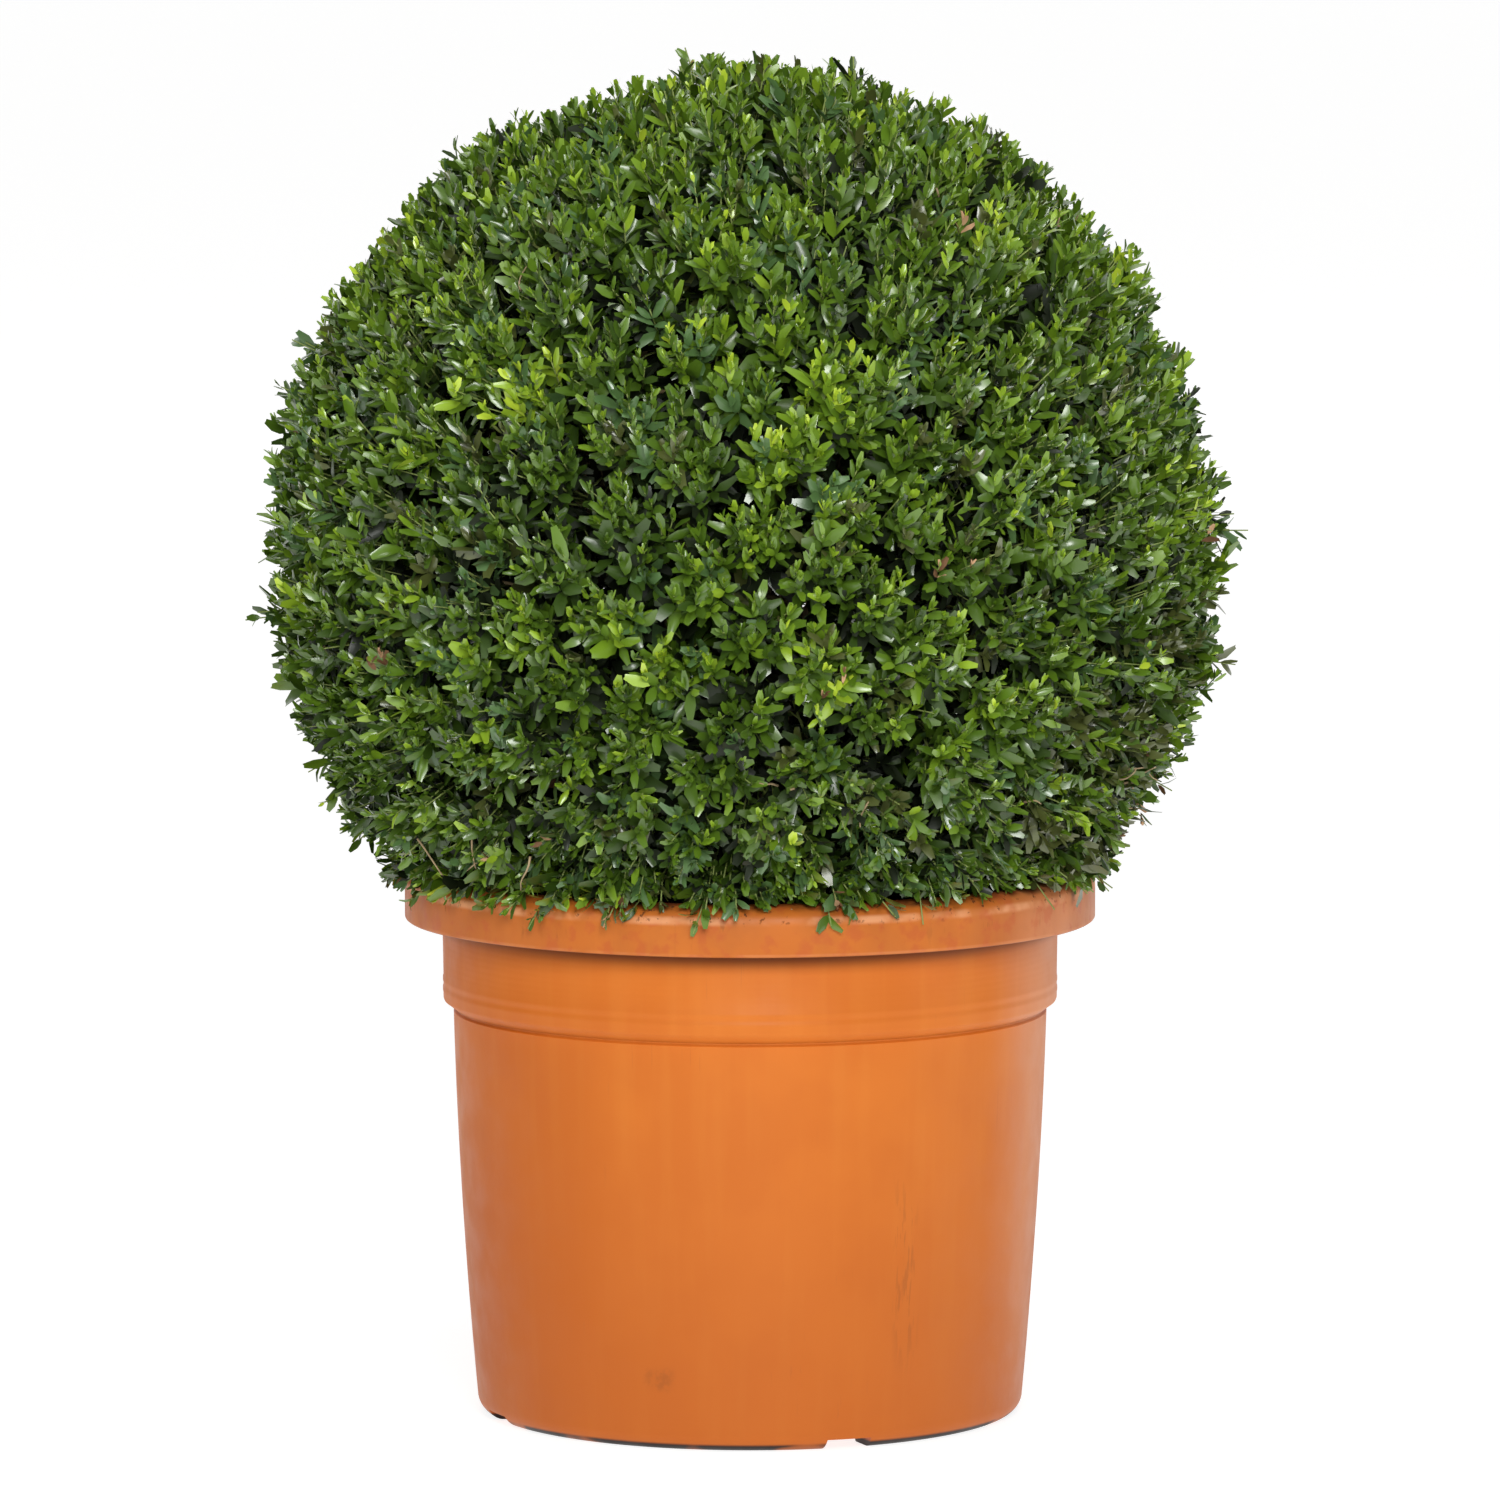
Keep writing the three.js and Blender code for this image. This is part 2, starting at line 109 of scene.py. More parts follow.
def arc(r, z, radius, from_deg, to_deg, steps):
    """Points of an arc in the (r, z) plane, both ends included."""
    angles = np.radians(np.linspace(from_deg, to_deg, steps + 1))
    return [(r + radius * math.cos(a), z + radius * math.sin(a)) for a in angles]


def body_point(share):
    """Radius and height of the tapered body at a share of its height: it swells a little half way up."""
    heel_r = FOOT_R + HEEL_R
    radius = heel_r + (BODY_TOP_R - heel_r) * share + BODY_SWELL * 4 * share * (1 - share)
    return radius, HEEL_R + (BODY_TOP_Z - HEEL_R) * share


def inner_wall(gap):
    """The pot's inside from the collar down to the middle of its floor, set in by a gap."""
    heel_r = FOOT_R + HEEL_R - WALL
    floor_z = FLOOR_UNDERSIDE_Z + WALL + gap
    return [
        (COLLAR_R - WALL - gap, COLLAR_Z),
        *[(r - WALL - gap, z) for r, z in (body_point(1), body_point(0.5))],
        (heel_r - gap, floor_z + FLOOR_BEVEL_HIGH),
        (heel_r - FLOOR_BEVEL_WIDE - gap, floor_z),
        (0, floor_z),
    ]


def pot_profile():
    """The pot's section, from the axis along the underside, up the outside and down the inside."""
    body = [body_point(i / BODY_ROWS) for i in range(1, BODY_ROWS + 1)]
    ridges = []
    for z in RIDGES_Z:
        half = RIDGE_HEIGHT / 2
        low, high = COLLAR_R, COLLAR_R + RIDGE_PROUD
        ridges += [(low, z - half), (high, z - half / 2), (high, z + half / 2), (low, z + half)]
    hollow_r = RIM_R - WALL
    under_lip_z = RIM_TOP_Z - WALL
    return [
        (0, FLOOR_UNDERSIDE_Z),
        (FOOT_INNER_R - FOOT_INNER_DRAFT, FLOOR_UNDERSIDE_Z),
        (FOOT_INNER_R, FOOT_EDGE_HIGH),
        (FOOT_INNER_R + FOOT_EDGE_WIDE, 0),
        *arc(FOOT_R, HEEL_R, HEEL_R, -90, 0, 10),
        *body,
        (BODY_TOP_R - GROOVE_DEPTH, GROOVE_Z - GROOVE_HALF),
        (BODY_TOP_R - GROOVE_DEPTH, GROOVE_Z + GROOVE_HALF),
        (COLLAR_R - COLLAR_EDGE, COLLAR_Z - 2 * COLLAR_EDGE),
        (COLLAR_R, COLLAR_Z + COLLAR_EDGE),
        *ridges,
        *arc(COLLAR_TOP_R + RIM_ROOT_R, under_lip_z - RIM_ROOT_R, RIM_ROOT_R, 180, 90, 3),
        *arc(hollow_r - RIM_HOLLOW_R, under_lip_z - RIM_HOLLOW_R, RIM_HOLLOW_R, 90, 0, 4),
        (hollow_r, RIM_LOW_Z + RIM_EDGE_R),
        *arc(RIM_R - RIM_EDGE_R, RIM_LOW_Z + RIM_EDGE_R, RIM_EDGE_R, -90, 0, 4),
        *arc(RIM_R - SHOULDER_R, RIM_TOP_Z - SHOULDER_R, SHOULDER_R, 0, 90, 8),
        *arc(MOUTH_R + LIP_R, RIM_TOP_Z - LIP_R, LIP_R, 90, 180, 6),
        *inner_wall(0),
    ]


def round_angles(sides):
    """The angles of evenly spread corners round a circle."""
    return np.arange(sides) * 2 * math.pi / sides


def turned(profile, sides):
    """Points in metres and faces of a profile in millimetres, turned round the vertical axis."""
    rings = np.array(profile[1:-1], float) * MM
    angles = round_angles(sides)
    points = np.empty((len(rings), sides, 3))
    points[..., 0] = rings[:, :1] * np.cos(angles)
    points[..., 1] = rings[:, :1] * np.sin(angles)
    points[..., 2] = rings[:, 1:]
    ends = np.array([(0, 0, profile[0][1]), (0, 0, profile[-1][1])], float) * MM
    here = np.arange(sides)
    there = (here + 1) % sides
    rows = np.arange(len(rings) - 1)[:, None] * sides
    quads = np.stack([rows + here, rows + there, rows + sides + there, rows + sides + here], -1)
    first = len(rings) * sides
    last_row = first - sides
    low = np.stack([there, here, np.full(sides, first)], -1)
    high = np.stack([last_row + here, last_row + there, np.full(sides, first + 1)], -1)
    return np.concatenate([points.reshape(-1, 3), ends]), [quads.reshape(-1, 4), low, high]


def mesh_object(name, points, face_groups, materials, slots=None):
    """A smooth-shaded mesh object from points and from arrays of faces with the same corner count."""
    mesh = bpy.data.meshes.new(name)
    corners = np.concatenate([np.ravel(group) for group in face_groups])
    sizes = np.concatenate([np.full(len(group), group.shape[1]) for group in face_groups])
    mesh.vertices.add(len(points))
    mesh.vertices.foreach_set("co", np.ravel(points).astype(np.float32))
    mesh.loops.add(len(corners))
    mesh.loops.foreach_set("vertex_index", corners.astype(np.int32))
    mesh.polygons.add(len(sizes))
    mesh.polygons.foreach_set("loop_start", (np.cumsum(sizes) - sizes).astype(np.int32))
    if slots is not None:
        mesh.polygons.foreach_set("material_index", slots.astype(np.int32))
    for material in materials:
        mesh.materials.append(material)
    mesh.update(calc_edges=True)
    mesh.shade_smooth()
    made = bpy.data.objects.new(name, mesh)
    bpy.context.scene.collection.objects.link(made)
    return made


def box_faces():
    """Corner order of a six-sided block whose lower four points come first, each four in a ring."""
    sides = [(i, (i + 1) % 4, (i + 1) % 4 + 4, i + 4) for i in range(4)]
    return np.array([(3, 2, 1, 0), (4, 5, 6, 7), *sides])


def foot_cutters():
    """The notches through the foot ring and the drain holes through the floor, as one cutting mesh."""
    points, quads, fans = [], [], []
    half = NOTCH_WIDTH / 2
    here = np.arange(DRAIN_SIDES)
    there = (here + 1) % DRAIN_SIDES
    for i in range(NOTCHES):
        turn = math.radians(NOTCH_FIRST_DEG - 90 + 360 * i / NOTCHES)
        along = np.array((math.cos(turn), math.sin(turn), 0))
        across = np.array((-along[1], along[0], 0))
        quads.append(box_faces() + len(points))
        for z, wide in ((-NOTCH_HEIGHT, half), (NOTCH_HEIGHT, half - NOTCH_DRAFT)):
            for r, side in ((0, -1), (1, -1), (1, 1), (0, 1)):
                points.append(along * NOTCH_RADII[r] + across * side * wide + (0, 0, z))
        quads.append(np.stack([here, there, there + DRAIN_SIDES, here + DRAIN_SIDES], -1) + len(points))
        fans.append(np.stack([here[::-1], here + DRAIN_SIDES]) + len(points))
        for z in (-FLOOR_UNDERSIDE_Z, 3 * FLOOR_UNDERSIDE_Z):
            for a in round_angles(DRAIN_SIDES):
                round_it = DRAIN_R * np.array((math.cos(a), math.sin(a), 0))
                points.append(along * DRAIN_CENTRE_R + round_it + (0, 0, z))
    faces = [np.concatenate(quads), np.concatenate(fans)]
    return mesh_object("foot_cutters", np.array(points) * MM, faces, [])


def cut_away(piece, cutter):
    """Cuts the cutter's space out of a piece for good and removes the cutter."""
    cut = piece.modifiers.new("cut", "BOOLEAN")
    cut.operation = "DIFFERENCE"
    cut.solver = "EXACT"
    cut.object = cutter
    shaped = piece.evaluated_get(bpy.context.evaluated_depsgraph_get())
    piece.data = bpy.data.meshes.new_from_object(shaped)
    piece.modifiers.clear()
    bpy.data.objects.remove(cutter)


def linear(hex_colour):
    """An sRGB hex colour as linear RGBA."""
    shares = [int(hex_colour[i : i + 2], 16) / 255 for i in (1, 3, 5)]
    return (*[s / 12.92 if s <= 0.04045 else ((s + 0.055) / 1.055) ** 2.4 for s in shares], 1.0)


def add_node(tree, kind, inputs=None, stops=None, **settings):
    """Adds a node. An input is a value or another node's output, and stops are a colour ramp's."""
    node = tree.nodes.new(kind)
    for name, value in settings.items():
        setattr(node, name, value)
    for name, value in (inputs or {}).items():
        if isinstance(value, bpy.types.NodeSocket):
            tree.links.new(value, node.inputs[name])
        else:
            node.inputs[name].default_value = value
    for i, (place, colour) in enumerate(stops or []):
        stop = node.color_ramp.elements[i] if i < 2 else node.color_ramp.elements.new(place)
        stop.position = place
        stop.color = colour
    return node


def new_material(name, values):
    """A node material and its shader, joined to the output, with the given values on its own sockets."""
    material = bpy.data.materials.new(name)
    material.use_nodes = True
    shader = material.node_tree.nodes["Principled BSDF"]
    for socket, value in values.items():
        shader.inputs[socket].default_value = value
    return material, shader


def moulded_polypropylene():
    """Terracotta-coloured polypropylene from a polished mould: satin and very slightly mottled, with fine
    scratches down the body and dust and soil on the rim, so that it looks used. Painted shade darkens it
    near the foot, on the left, over the rim, in the groove, under the rim and along the foot, a painted
    reflection pales its right side, and painted highlights lie along the rim's edges."""
    values = {"IOR": 1.49, "Specular IOR Level": 0.22}
    material, shader = new_material("moulded_polypropylene_terracotta", values)
    tree = material.node_tree
    place = add_node(tree, "ShaderNodeTexCoord").outputs["Object"]
    axes = add_node(tree, "ShaderNodeSeparateXYZ", {"Vector": place}).outputs
    soft = {"interpolation_type": "SMOOTHSTEP"}

    def marks(size_mm, thin, full, weak=0.0, strong=1.0, detail=3.0, drawn_out=1.0, fine=0.55):
        """Marks of a real size, weak where their noise is thin and strong where it is full. A scale below 1
        draws them out down the pot."""
        scaled = add_node(tree, "ShaderNodeMapping", {"Vector": place, "Scale": (1, 1, drawn_out)})
        grain = add_node(
            tree,
            "ShaderNodeTexNoise",
            {"Vector": scaled.outputs[0], "Scale": 1000 / size_mm, "Detail": detail, "Roughness": fine},
        )
        strength = {"Value": grain.outputs["Fac"], 1: thin, 2: full, 3: weak, 4: strong}
        return add_node(tree, "ShaderNodeMapRange", strength, **soft).outputs[0]

    def level(from_mm, to_mm, below=0.0, above=1.0):
        """A share that changes softly all round the pot from one height in millimetres to another."""
        heights = {"Value": axes["Z"], 1: from_mm * MM, 2: to_mm * MM, 3: below, 4: above}
        return add_node(tree, "ShaderNodeMapRange", heights, **soft).outputs[0]

    def meeting(*shares):
        """The place where several marks meet, as one share: their product."""
        met = shares[0]
        for share in shares[1:]:
            met = add_node(tree, "ShaderNodeMath", {0: met, 1: share}, operation="MULTIPLY").outputs[0]
        return met

    def patch(x_mm, z_mm, wide_mm, high_mm):
        """A soft-edged patch on the pot's front, by its middle and its size in millimetres."""
        in_front = {"Value": axes["Y"], 1: 0.0, 2: -50 * MM}
        shares = [add_node(tree, "ShaderNodeMapRange", in_front, **soft).outputs[0]]
        for axis, middle, size in (("X", x_mm, wide_mm), ("Z", z_mm, high_mm)):
            off = add_node(tree, "ShaderNodeMath", {0: axes[axis], 1: middle * MM}, operation="SUBTRACT")
            far = add_node(tree, "ShaderNodeMath", {0: off.outputs[0]}, operation="ABSOLUTE")
            edge = {"Value": far.outputs[0], 1: size * MM / 2, 2: size * MM / 6}
            shares.append(add_node(tree, "ShaderNodeMapRange", edge, **soft).outputs[0])
        return meeting(*shares)

    flow_marks = marks(16, 0.42, 0.7, 0.0, 0.14, detail=2.0, drawn_out=0.06)
    scratches = marks(2.2, 0.66, 0.72, 0.0, 0.22, detail=2.0, drawn_out=0.015)
    scuffs = marks(4, 0.5, 0.6, 0.0, 0.4, drawn_out=0.12)
    smudges = marks(7, 0.4, 0.6, 0.1, 0.5)
    # Painted highlights on the rim's edges come and go with this noise.
    painted_highlight_strength = marks(30, 0.38, 0.62, 0.05, 0.55)
    splashes = meeting(marks(5.5, 0.6, 0.66, detail=4.0, fine=0.65), level(363, 377, 0.0, 0.85))
    rim_face = meeting(level(349, 365), level(375, 363), marks(60, 0.42, 0.6, 0.0, 0.45, detail=2.0))
    drips = meeting(marks(6, 0.63, 0.7, drawn_out=0.22), rim_face)
    soil = add_node(tree, "ShaderNodeMath", {0: splashes, 1: drips}, operation="ADD").outputs[0]
    # Painted shade on the collar under the rim: a share that rises towards the rim's lower edge.
    painted_shade_below_rim = level(330, 344.5)
    colour = linear("#cb6c22")
    for hex_colour, share in (
        ("#d17225", marks(90, 0.35, 0.65)),
        ("#de8a39", flow_marks),
        # Painted shade: the body is darker towards its foot and on its left side.
        ("#b2591c", level(0, 300, 0.6, 0.0)),
        ("#b4540f", meeting(patch(-150, 175, 150, 420), 0.4)),
        # Painted reflection: a pale patch on the right side of the body and rim.
        ("#e3a884", meeting(patch(225, 230, 130, 620), 0.4)),
        ("#a85a2a", meeting(scratches, marks(70, 0.52, 0.66, detail=2.0))),
        ("#94501f", meeting(patch(106, 120, 22, 160), scuffs)),
        ("#94501f", meeting(patch(-62, 50, 26, 22), smudges)),
        # The rim is darker all over, partly from dust and partly as painted shade from the foliage above it;
        # a crust of dried soil lies on its top, and it has blotches.
        ("#9a5527", meeting(level(343, 347), marks(40, 0.3, 0.7, 0.26, 0.48))),
        ("#3b2417", meeting(level(376.5, 379.8), marks(38, 0.45, 0.6, 0.0, 0.75, detail=4.0))),
        ("#b5502a", meeting(level(344, 348), marks(13, 0.5, 0.66, 0.0, 0.4))),
        # Painted highlights lie along its lower edge and its shoulder, broken up by noise, and soil lies and
        # runs over them.
        ("#f0b183", meeting(level(346.4, 347.2), level(349.6, 348.4, 0.0, 0.25), painted_highlight_strength)),
        ("#f0b183", meeting(level(367.2, 370.5), level(375.2, 372.4), painted_highlight_strength)),
        ("#4b2c1a", soil),
        # Painted shade in the groove and under the rim, and a dark line along the foot that is partly dirt
        # and partly painted shade.
        ("#6b3413", meeting(level(281.5, 282.4, 0.0, 0.2), level(286.6, 284.2))),
        ("#5e2b0d", meeting(painted_shade_below_rim, painted_shade_below_rim, level(347.5, 346.2, 0.0, 0.9))),
        # The foot line is partly dirt and partly painted shade where the heel meets the floor.
        ("#241610", meeting(level(6, 3.5), marks(55, 0.38, 0.5, 0.3, 1.0, detail=2.0))),
    ):
        stained = {"Fac": share, "Color1": colour, "Color2": linear(hex_colour)}
        colour = add_node(tree, "ShaderNodeMixRGB", stained).outputs[0]
    tree.links.new(colour, shader.inputs["Base Color"])

    worn = marks(24, 0.3, 0.7, 0.42, 0.54, detail=4.0)
    dull = add_node(tree, "ShaderNodeMath", {0: worn, 1: meeting(soil, 0.45)}, operation="ADD")
    tree.links.new(dull.outputs[0], shader.inputs["Roughness"])

    peel = add_node(
        tree,
        "ShaderNodeTexNoise",
        {"Vector": place, "Scale": 1000 / 3.5, "Detail": 2.0, "Roughness": 0.55},
    )
    striations = add_node(
        tree,
        "ShaderNodeTexWave",
        {"Vector": place, "Scale": 1000 / 14, "Distortion": 0.6, "Detail": 1.0, "Detail Scale": 0.6},
        bands_direction="Z",
    )
    relief = meeting(peel.outputs["Fac"], 0.35)
    on_collar = meeting(striations.outputs["Fac"], level(306, 312, 0.0, 0.25), level(343, 333))
    for more in (on_collar, meeting(soil, 0.9)):
        relief = add_node(tree, "ShaderNodeMath", {0: relief, 1: more}, operation="ADD").outputs[0]
    bump = add_node(tree, "ShaderNodeBump", {"Height": relief, "Distance": 0.25 * MM, "Strength": 0.5})
    tree.links.new(bump.outputs[0], shader.inputs["Normal"])
    return material


pot_points, pot_faces = turned(pot_profile(), POT_SIDES)
for point in pot_points:
    from_axis = Vector((point[0], point[1], 0)).length
    if from_axis > OUT_OF_ROUND_FROM_R * MM:
        sway = noise.noise(Vector(point * OUT_OF_ROUND_WAVES))
        point[:2] *= 1 + sway * OUT_OF_ROUND * MM / from_axis
pot = mesh_object("pot_moulding", pot_points, pot_faces, [])
cut_away(pot, foot_cutters())
pot.data.materials.clear()
pot.data.materials.append(moulded_polypropylene())
pot.data.shade_smooth()
pot.data.set_sharp_from_angle(angle=math.radians(SHARP_EDGE_DEG))
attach(pot, "root")
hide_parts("pot")

# Compost: moist peat with bark bits, filled to 35 mm below the rim. It lies loose in the pot, a little
# higher round the trunk, with crumbs of bark on it.
COMPOST_SIDES = 120
COMPOST_ROWS = 40
COMPOST_WALL_Z = 346
COMPOST_MID_Z = 348
CLEAR = 0.3
COMPOST_EDGE_GAP = 0.4
COMPOST_RELIEF = 2.2
COARSE_LUMPS_A_METRE = 90
FINE_LUMPS_A_METRE = 260
SMOOTH_EDGE_SHARE = 12
CRUMBS = 420
CRUMB_MARGIN = 8
CRUMB_SINK = 1.5
CRUMB_SIZES = ((1.5, 1.0, 0.6), (6, 3.5, 1.6))
CRUMB_CROOKED = (0.6, 1.1)
rng = np.random.default_rng(20817)


def moist_compost():
    """Peat and bark compost: near black where it is moist, with paler crumbs, rough and dull."""
    material, shader = new_material("moist_bark_compost", {"Roughness": 0.95})
    tree = material.node_tree
    place = add_node(tree, "ShaderNodeTexCoord").outputs["Object"]
    crumbs = add_node(tree, "ShaderNodeTexVoronoi", {"Vector": place, "Scale": 1000 / 6})
    fines = add_node(tree, "ShaderNodeTexNoise", {"Vector": place, "Scale": 1000 / 4, "Detail": 5.0})
    tone = add_node(
        tree,
        "ShaderNodeValToRGB",
        {"Fac": fines.outputs["Fac"]},
        stops=[(0.3, linear("#1c120c")), (0.55, linear("#3a281b")), (0.75, linear("#6a4c33"))],
    )
    tree.links.new(tone.outputs[0], shader.inputs["Base Color"])
    bump = add_node(
        tree, "ShaderNodeBump", {"Height": crumbs.outputs["Distance"], "Distance": 2 * MM, "Strength": 0.8}
    )
    tree.links.new(bump.outputs[0], shader.inputs["Normal"])
    return material


compost_top_r = MOUTH_R - CLEAR - COMPOST_EDGE_GAP
compost_profile = inner_wall(CLEAR)[::-1]
for i in range(COMPOST_ROWS + 1):
    share = i / COMPOST_ROWS
    height = COMPOST_WALL_Z + (COMPOST_MID_Z - COMPOST_WALL_Z) * share
    compost_profile.append((compost_top_r * (1 - share), height))
compost_points, compost_faces = turned(compost_profile, COMPOST_SIDES)
for point in compost_points:
    if point[2] > (COMPOST_WALL_Z - 1) * MM:
        inside = 1 - math.hypot(point[0], point[1]) / (compost_top_r * MM)
        coarse = noise.noise(Vector(point) * COARSE_LUMPS_A_METRE)
        lump = coarse + 0.5 * noise.noise(Vector(point) * FINE_LUMPS_A_METRE)
        point[2] += (lump - 1) * COMPOST_RELIEF * MM * min(1, inside * SMOOTH_EDGE_SHARE)
compost = mesh_object("compost_fill", compost_points, compost_faces, [moist_compost()])
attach(compost, "root")
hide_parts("compost")


def crumb_blocks(count):
    """Small crooked blocks of bark, scattered over the compost, in millimetres."""
    turn = rng.uniform(0, 2 * math.pi, count)
    radius = (compost_top_r - CRUMB_MARGIN) * np.sqrt(rng.random(count))
    height = np.full(count, COMPOST_MID_Z - CRUMB_SINK)
    centre = np.stack([radius * np.cos(turn), radius * np.sin(turn), height], -1)
    corners = np.array([(x, y, z) for z in (-1, 1) for x, y in ((-1, -1), (1, -1), (1, 1), (-1, 1))], float)
    size = rng.uniform(*CRUMB_SIZES, (count, 3))
    blocks = corners * size[:, None] * rng.uniform(*CRUMB_CROOKED, (count, 8, 3))
    spin = rng.uniform(0, 2 * math.pi, count)[:, None]
    x, y = blocks[..., 0].copy(), blocks[..., 1].copy()
    blocks[..., 0] = x * np.cos(spin) - y * np.sin(spin)
    blocks[..., 1] = x * np.sin(spin) + y * np.cos(spin)
    faces = box_faces() + 8 * np.arange(count)[:, None, None]
    return (blocks + centre[:, None]).reshape(-1, 3), faces.reshape(-1, 4)


crumb_points, crumb_faces = crumb_blocks(CRUMBS)
crumbs = mesh_object("bark_crumbs", crumb_points * MM, [crumb_faces], [compost.data.materials[0]])
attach(crumbs, "root")

# Trunk: the short woody foot of the plant, cut off level with the compost. It leans a little, swells
# into five root lobes at its foot, and carries the fissured corky bark of old box.
TRUNK_FOOT_R = 25
TRUNK_TIP_R = 19
TRUNK_FOOT_Z = COMPOST_MID_Z + CLEAR
TRUNK_TIP_Z = 405
TRUNK_ROWS = 44
TRUNK_SIDES = 96
FLARE = 13
FLARE_HEIGHT = 16
FLARE_LOBES = 5
FLARE_LOBE_DEPTH = 0.22
FISSURE_DEPTH = 1.3
FISSURE_WIDTH = 7
FISSURE_LENGTH = 26
FISSURE_SHARPNESS = 5
BALL_X = -5


def corky_bark():
    """Old box bark: thin corky plates between long fissures, pale grey-brown, dry and dull."""
    material, shader = new_material("fissured_box_bark", {"Roughness": 0.86})
    tree = material.node_tree
    place = add_node(tree, "ShaderNodeTexCoord").outputs["Object"]
    long_way = add_node(tree, "ShaderNodeMapping", {"Vector": place, "Scale": (1, 1, 0.3)}).outputs[0]
    plates = add_node(
        tree,
        "ShaderNodeTexVoronoi",
        {"Vector": long_way, "Scale": 1000 / FISSURE_WIDTH},
        feature="DISTANCE_TO_EDGE",
    )
    fibre = add_node(tree, "ShaderNodeTexNoise", {"Vector": long_way, "Scale": 1000 / 5, "Detail": 5.0})
    tone = add_node(
        tree,
        "ShaderNodeValToRGB",
        {"Fac": fibre.outputs["Fac"]},
        stops=[(0.28, linear("#5b4a33")), (0.52, linear("#93825f")), (0.76, linear("#b9aa86"))],
    )
    depth = add_node(tree, "ShaderNodeMapRange", {"Value": plates.outputs["Distance"], 1: 0.0, 2: 0.16})
    shade = add_node(
        tree,
        "ShaderNodeMixRGB",
        {"Fac": depth.outputs[0], "Color1": linear("#46382a"), "Color2": tone.outputs[0]},
    )
    tree.links.new(shade.outputs[0], shader.inputs["Base Color"])
    bump = add_node(
        tree, "ShaderNodeBump", {"Height": depth.outputs[0], "Distance": 0.8 * MM, "Strength": 0.7}
    )
    tree.links.new(bump.outputs[0], shader.inputs["Normal"])
    return material


def fissures(place, depth):
    """How far the bark stands in from its plates at a point in millimetres, by noise drawn out lengthways."""
    x, y, z = place
    crack = noise.noise(Vector((x / FISSURE_WIDTH, y / FISSURE_WIDTH, z / FISSURE_LENGTH)))
    return -depth * max(0.0, 1 - abs(crack) * FISSURE_SHARPNESS)


def trunk_rings():
    """Rings of the trunk's surface in millimetres, from its flat foot to its tip."""
    turns = round_angles(TRUNK_SIDES)
    rings = []
    for i in range(TRUNK_ROWS + 1):
        share = i / TRUNK_ROWS
        rise = (TRUNK_TIP_Z - TRUNK_FOOT_Z) * share
        flare = FLARE * math.exp(-rise / FLARE_HEIGHT)
        lobes = 1 + FLARE_LOBE_DEPTH * np.cos(FLARE_LOBES * turns) * flare / FLARE
        radius = (TRUNK_FOOT_R + (TRUNK_TIP_R - TRUNK_FOOT_R) * share + flare) * lobes
        lean = BALL_X * share * share * (3 - 2 * share)
        height = np.full(TRUNK_SIDES, TRUNK_FOOT_Z + rise)
        ring = np.stack([radius * np.cos(turns) + lean, radius * np.sin(turns), height], -1)
        inward = np.array([fissures(point, FISSURE_DEPTH) for point in ring])
        ring[:, 0] += inward * np.cos(turns)
        ring[:, 1] += inward * np.sin(turns)
        rings.append(ring)
    return np.array(rings)


def ring_faces(limbs, rings, sides):
    """Side faces and end caps for limbs that are each a stack of rings, in the order of their points."""
    start = np.arange(limbs)[:, None, None] * rings * sides
    row = np.arange(rings - 1)[:, None] * sides
    here = np.arange(sides)
    there = (here + 1) % sides
    quads = start[..., None] + row[..., None] + np.stack([here, there, sides + there, sides + here], -1)
    low = start[:, 0] + here[::-1]
    high = start[:, 0] + (rings - 1) * sides + here
    return [quads.reshape(-1, 4), low.reshape(-1, sides), high.reshape(-1, sides)]


bark = corky_bark()
trunk = mesh_object(
    "trunk_bark", trunk_rings().reshape(-1, 3) * MM, ring_faces(1, TRUNK_ROWS + 1, TRUNK_SIDES), [bark]
)
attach(trunk, "root")
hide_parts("trunk")

# Boughs, branches and twigs: the wood inside the ball. It goes on from the trunk's tip and forks three
# times, each time to ends that lie evenly over a larger ball, by the same golden angle as the solids.
BALL = np.array((BALL_X, 0, 605.3))
INNER_LOW_Z = 397
GOLDEN_TURN = math.pi * (3 - math.sqrt(5))
REACH_PLAY = (0.94, 1.04)
STEM_LOW = np.array((BALL_X, 0, TRUNK_TIP_Z + CLEAR))
STEM_TOP = np.array((BALL_X + 6, 4, 546))
STEM_LOW_GUIDE = (0, 0, 45)
STEM_TOP_GUIDE = (4, 2, 45)
STEM = {"root_r": TRUNK_TIP_R - CLEAR, "tip_r": 8, "sides": 48, "steps": 60}
BOUGHS = {"root_r": 9, "tip_r": 5.5, "sides": 24, "steps": 48}
BRANCHES = {"root_r": 5, "tip_r": 2.9, "sides": 10, "steps": 14}
TWIGS = {"root_r": 2.3, "tip_r": 1.3, "sides": 6, "steps": 8}
BOUGH_GROWTH = {"count": 10, "sway": 0.3, "reach": 135, "lift": 0.3}
BRANCH_GROWTH = {"count": 64, "sway": 0.24, "reach": 212, "lift": 0.3, "forks": (0.5, 1.0)}
TWIG_GROWTH = {"count": 430, "sway": 0.1, "reach": 272, "lift": 0.35, "forks": (0.45, 1.0)}
BOUGH_ROOTS_FROM = 0.08
BOUGH_ROOTS_OVER = 0.8
BOUGH_RISE = 60
BOUGH_FISSURE_DEPTH = 0.7
BOUGH_FISSURE_SLANT = 0.7


def unit(vectors):
    """The same directions with a length of 1."""
    return vectors / np.linalg.norm(vectors, axis=-1, keepdims=True)


def golden_ways(count, sway):
    """Directions spread evenly over a ball by the golden angle, each swayed a little by the seed."""
    index = np.arange(count)
    height = 1 - (2 * index + 1) / count
    ring = np.sqrt(1 - height**2)
    turn = index * GOLDEN_TURN
    ways = np.stack([ring * np.cos(turn), ring * np.sin(turn), height], -1)
    return unit(ways + sway * (rng.random((count, 3)) - 0.5))


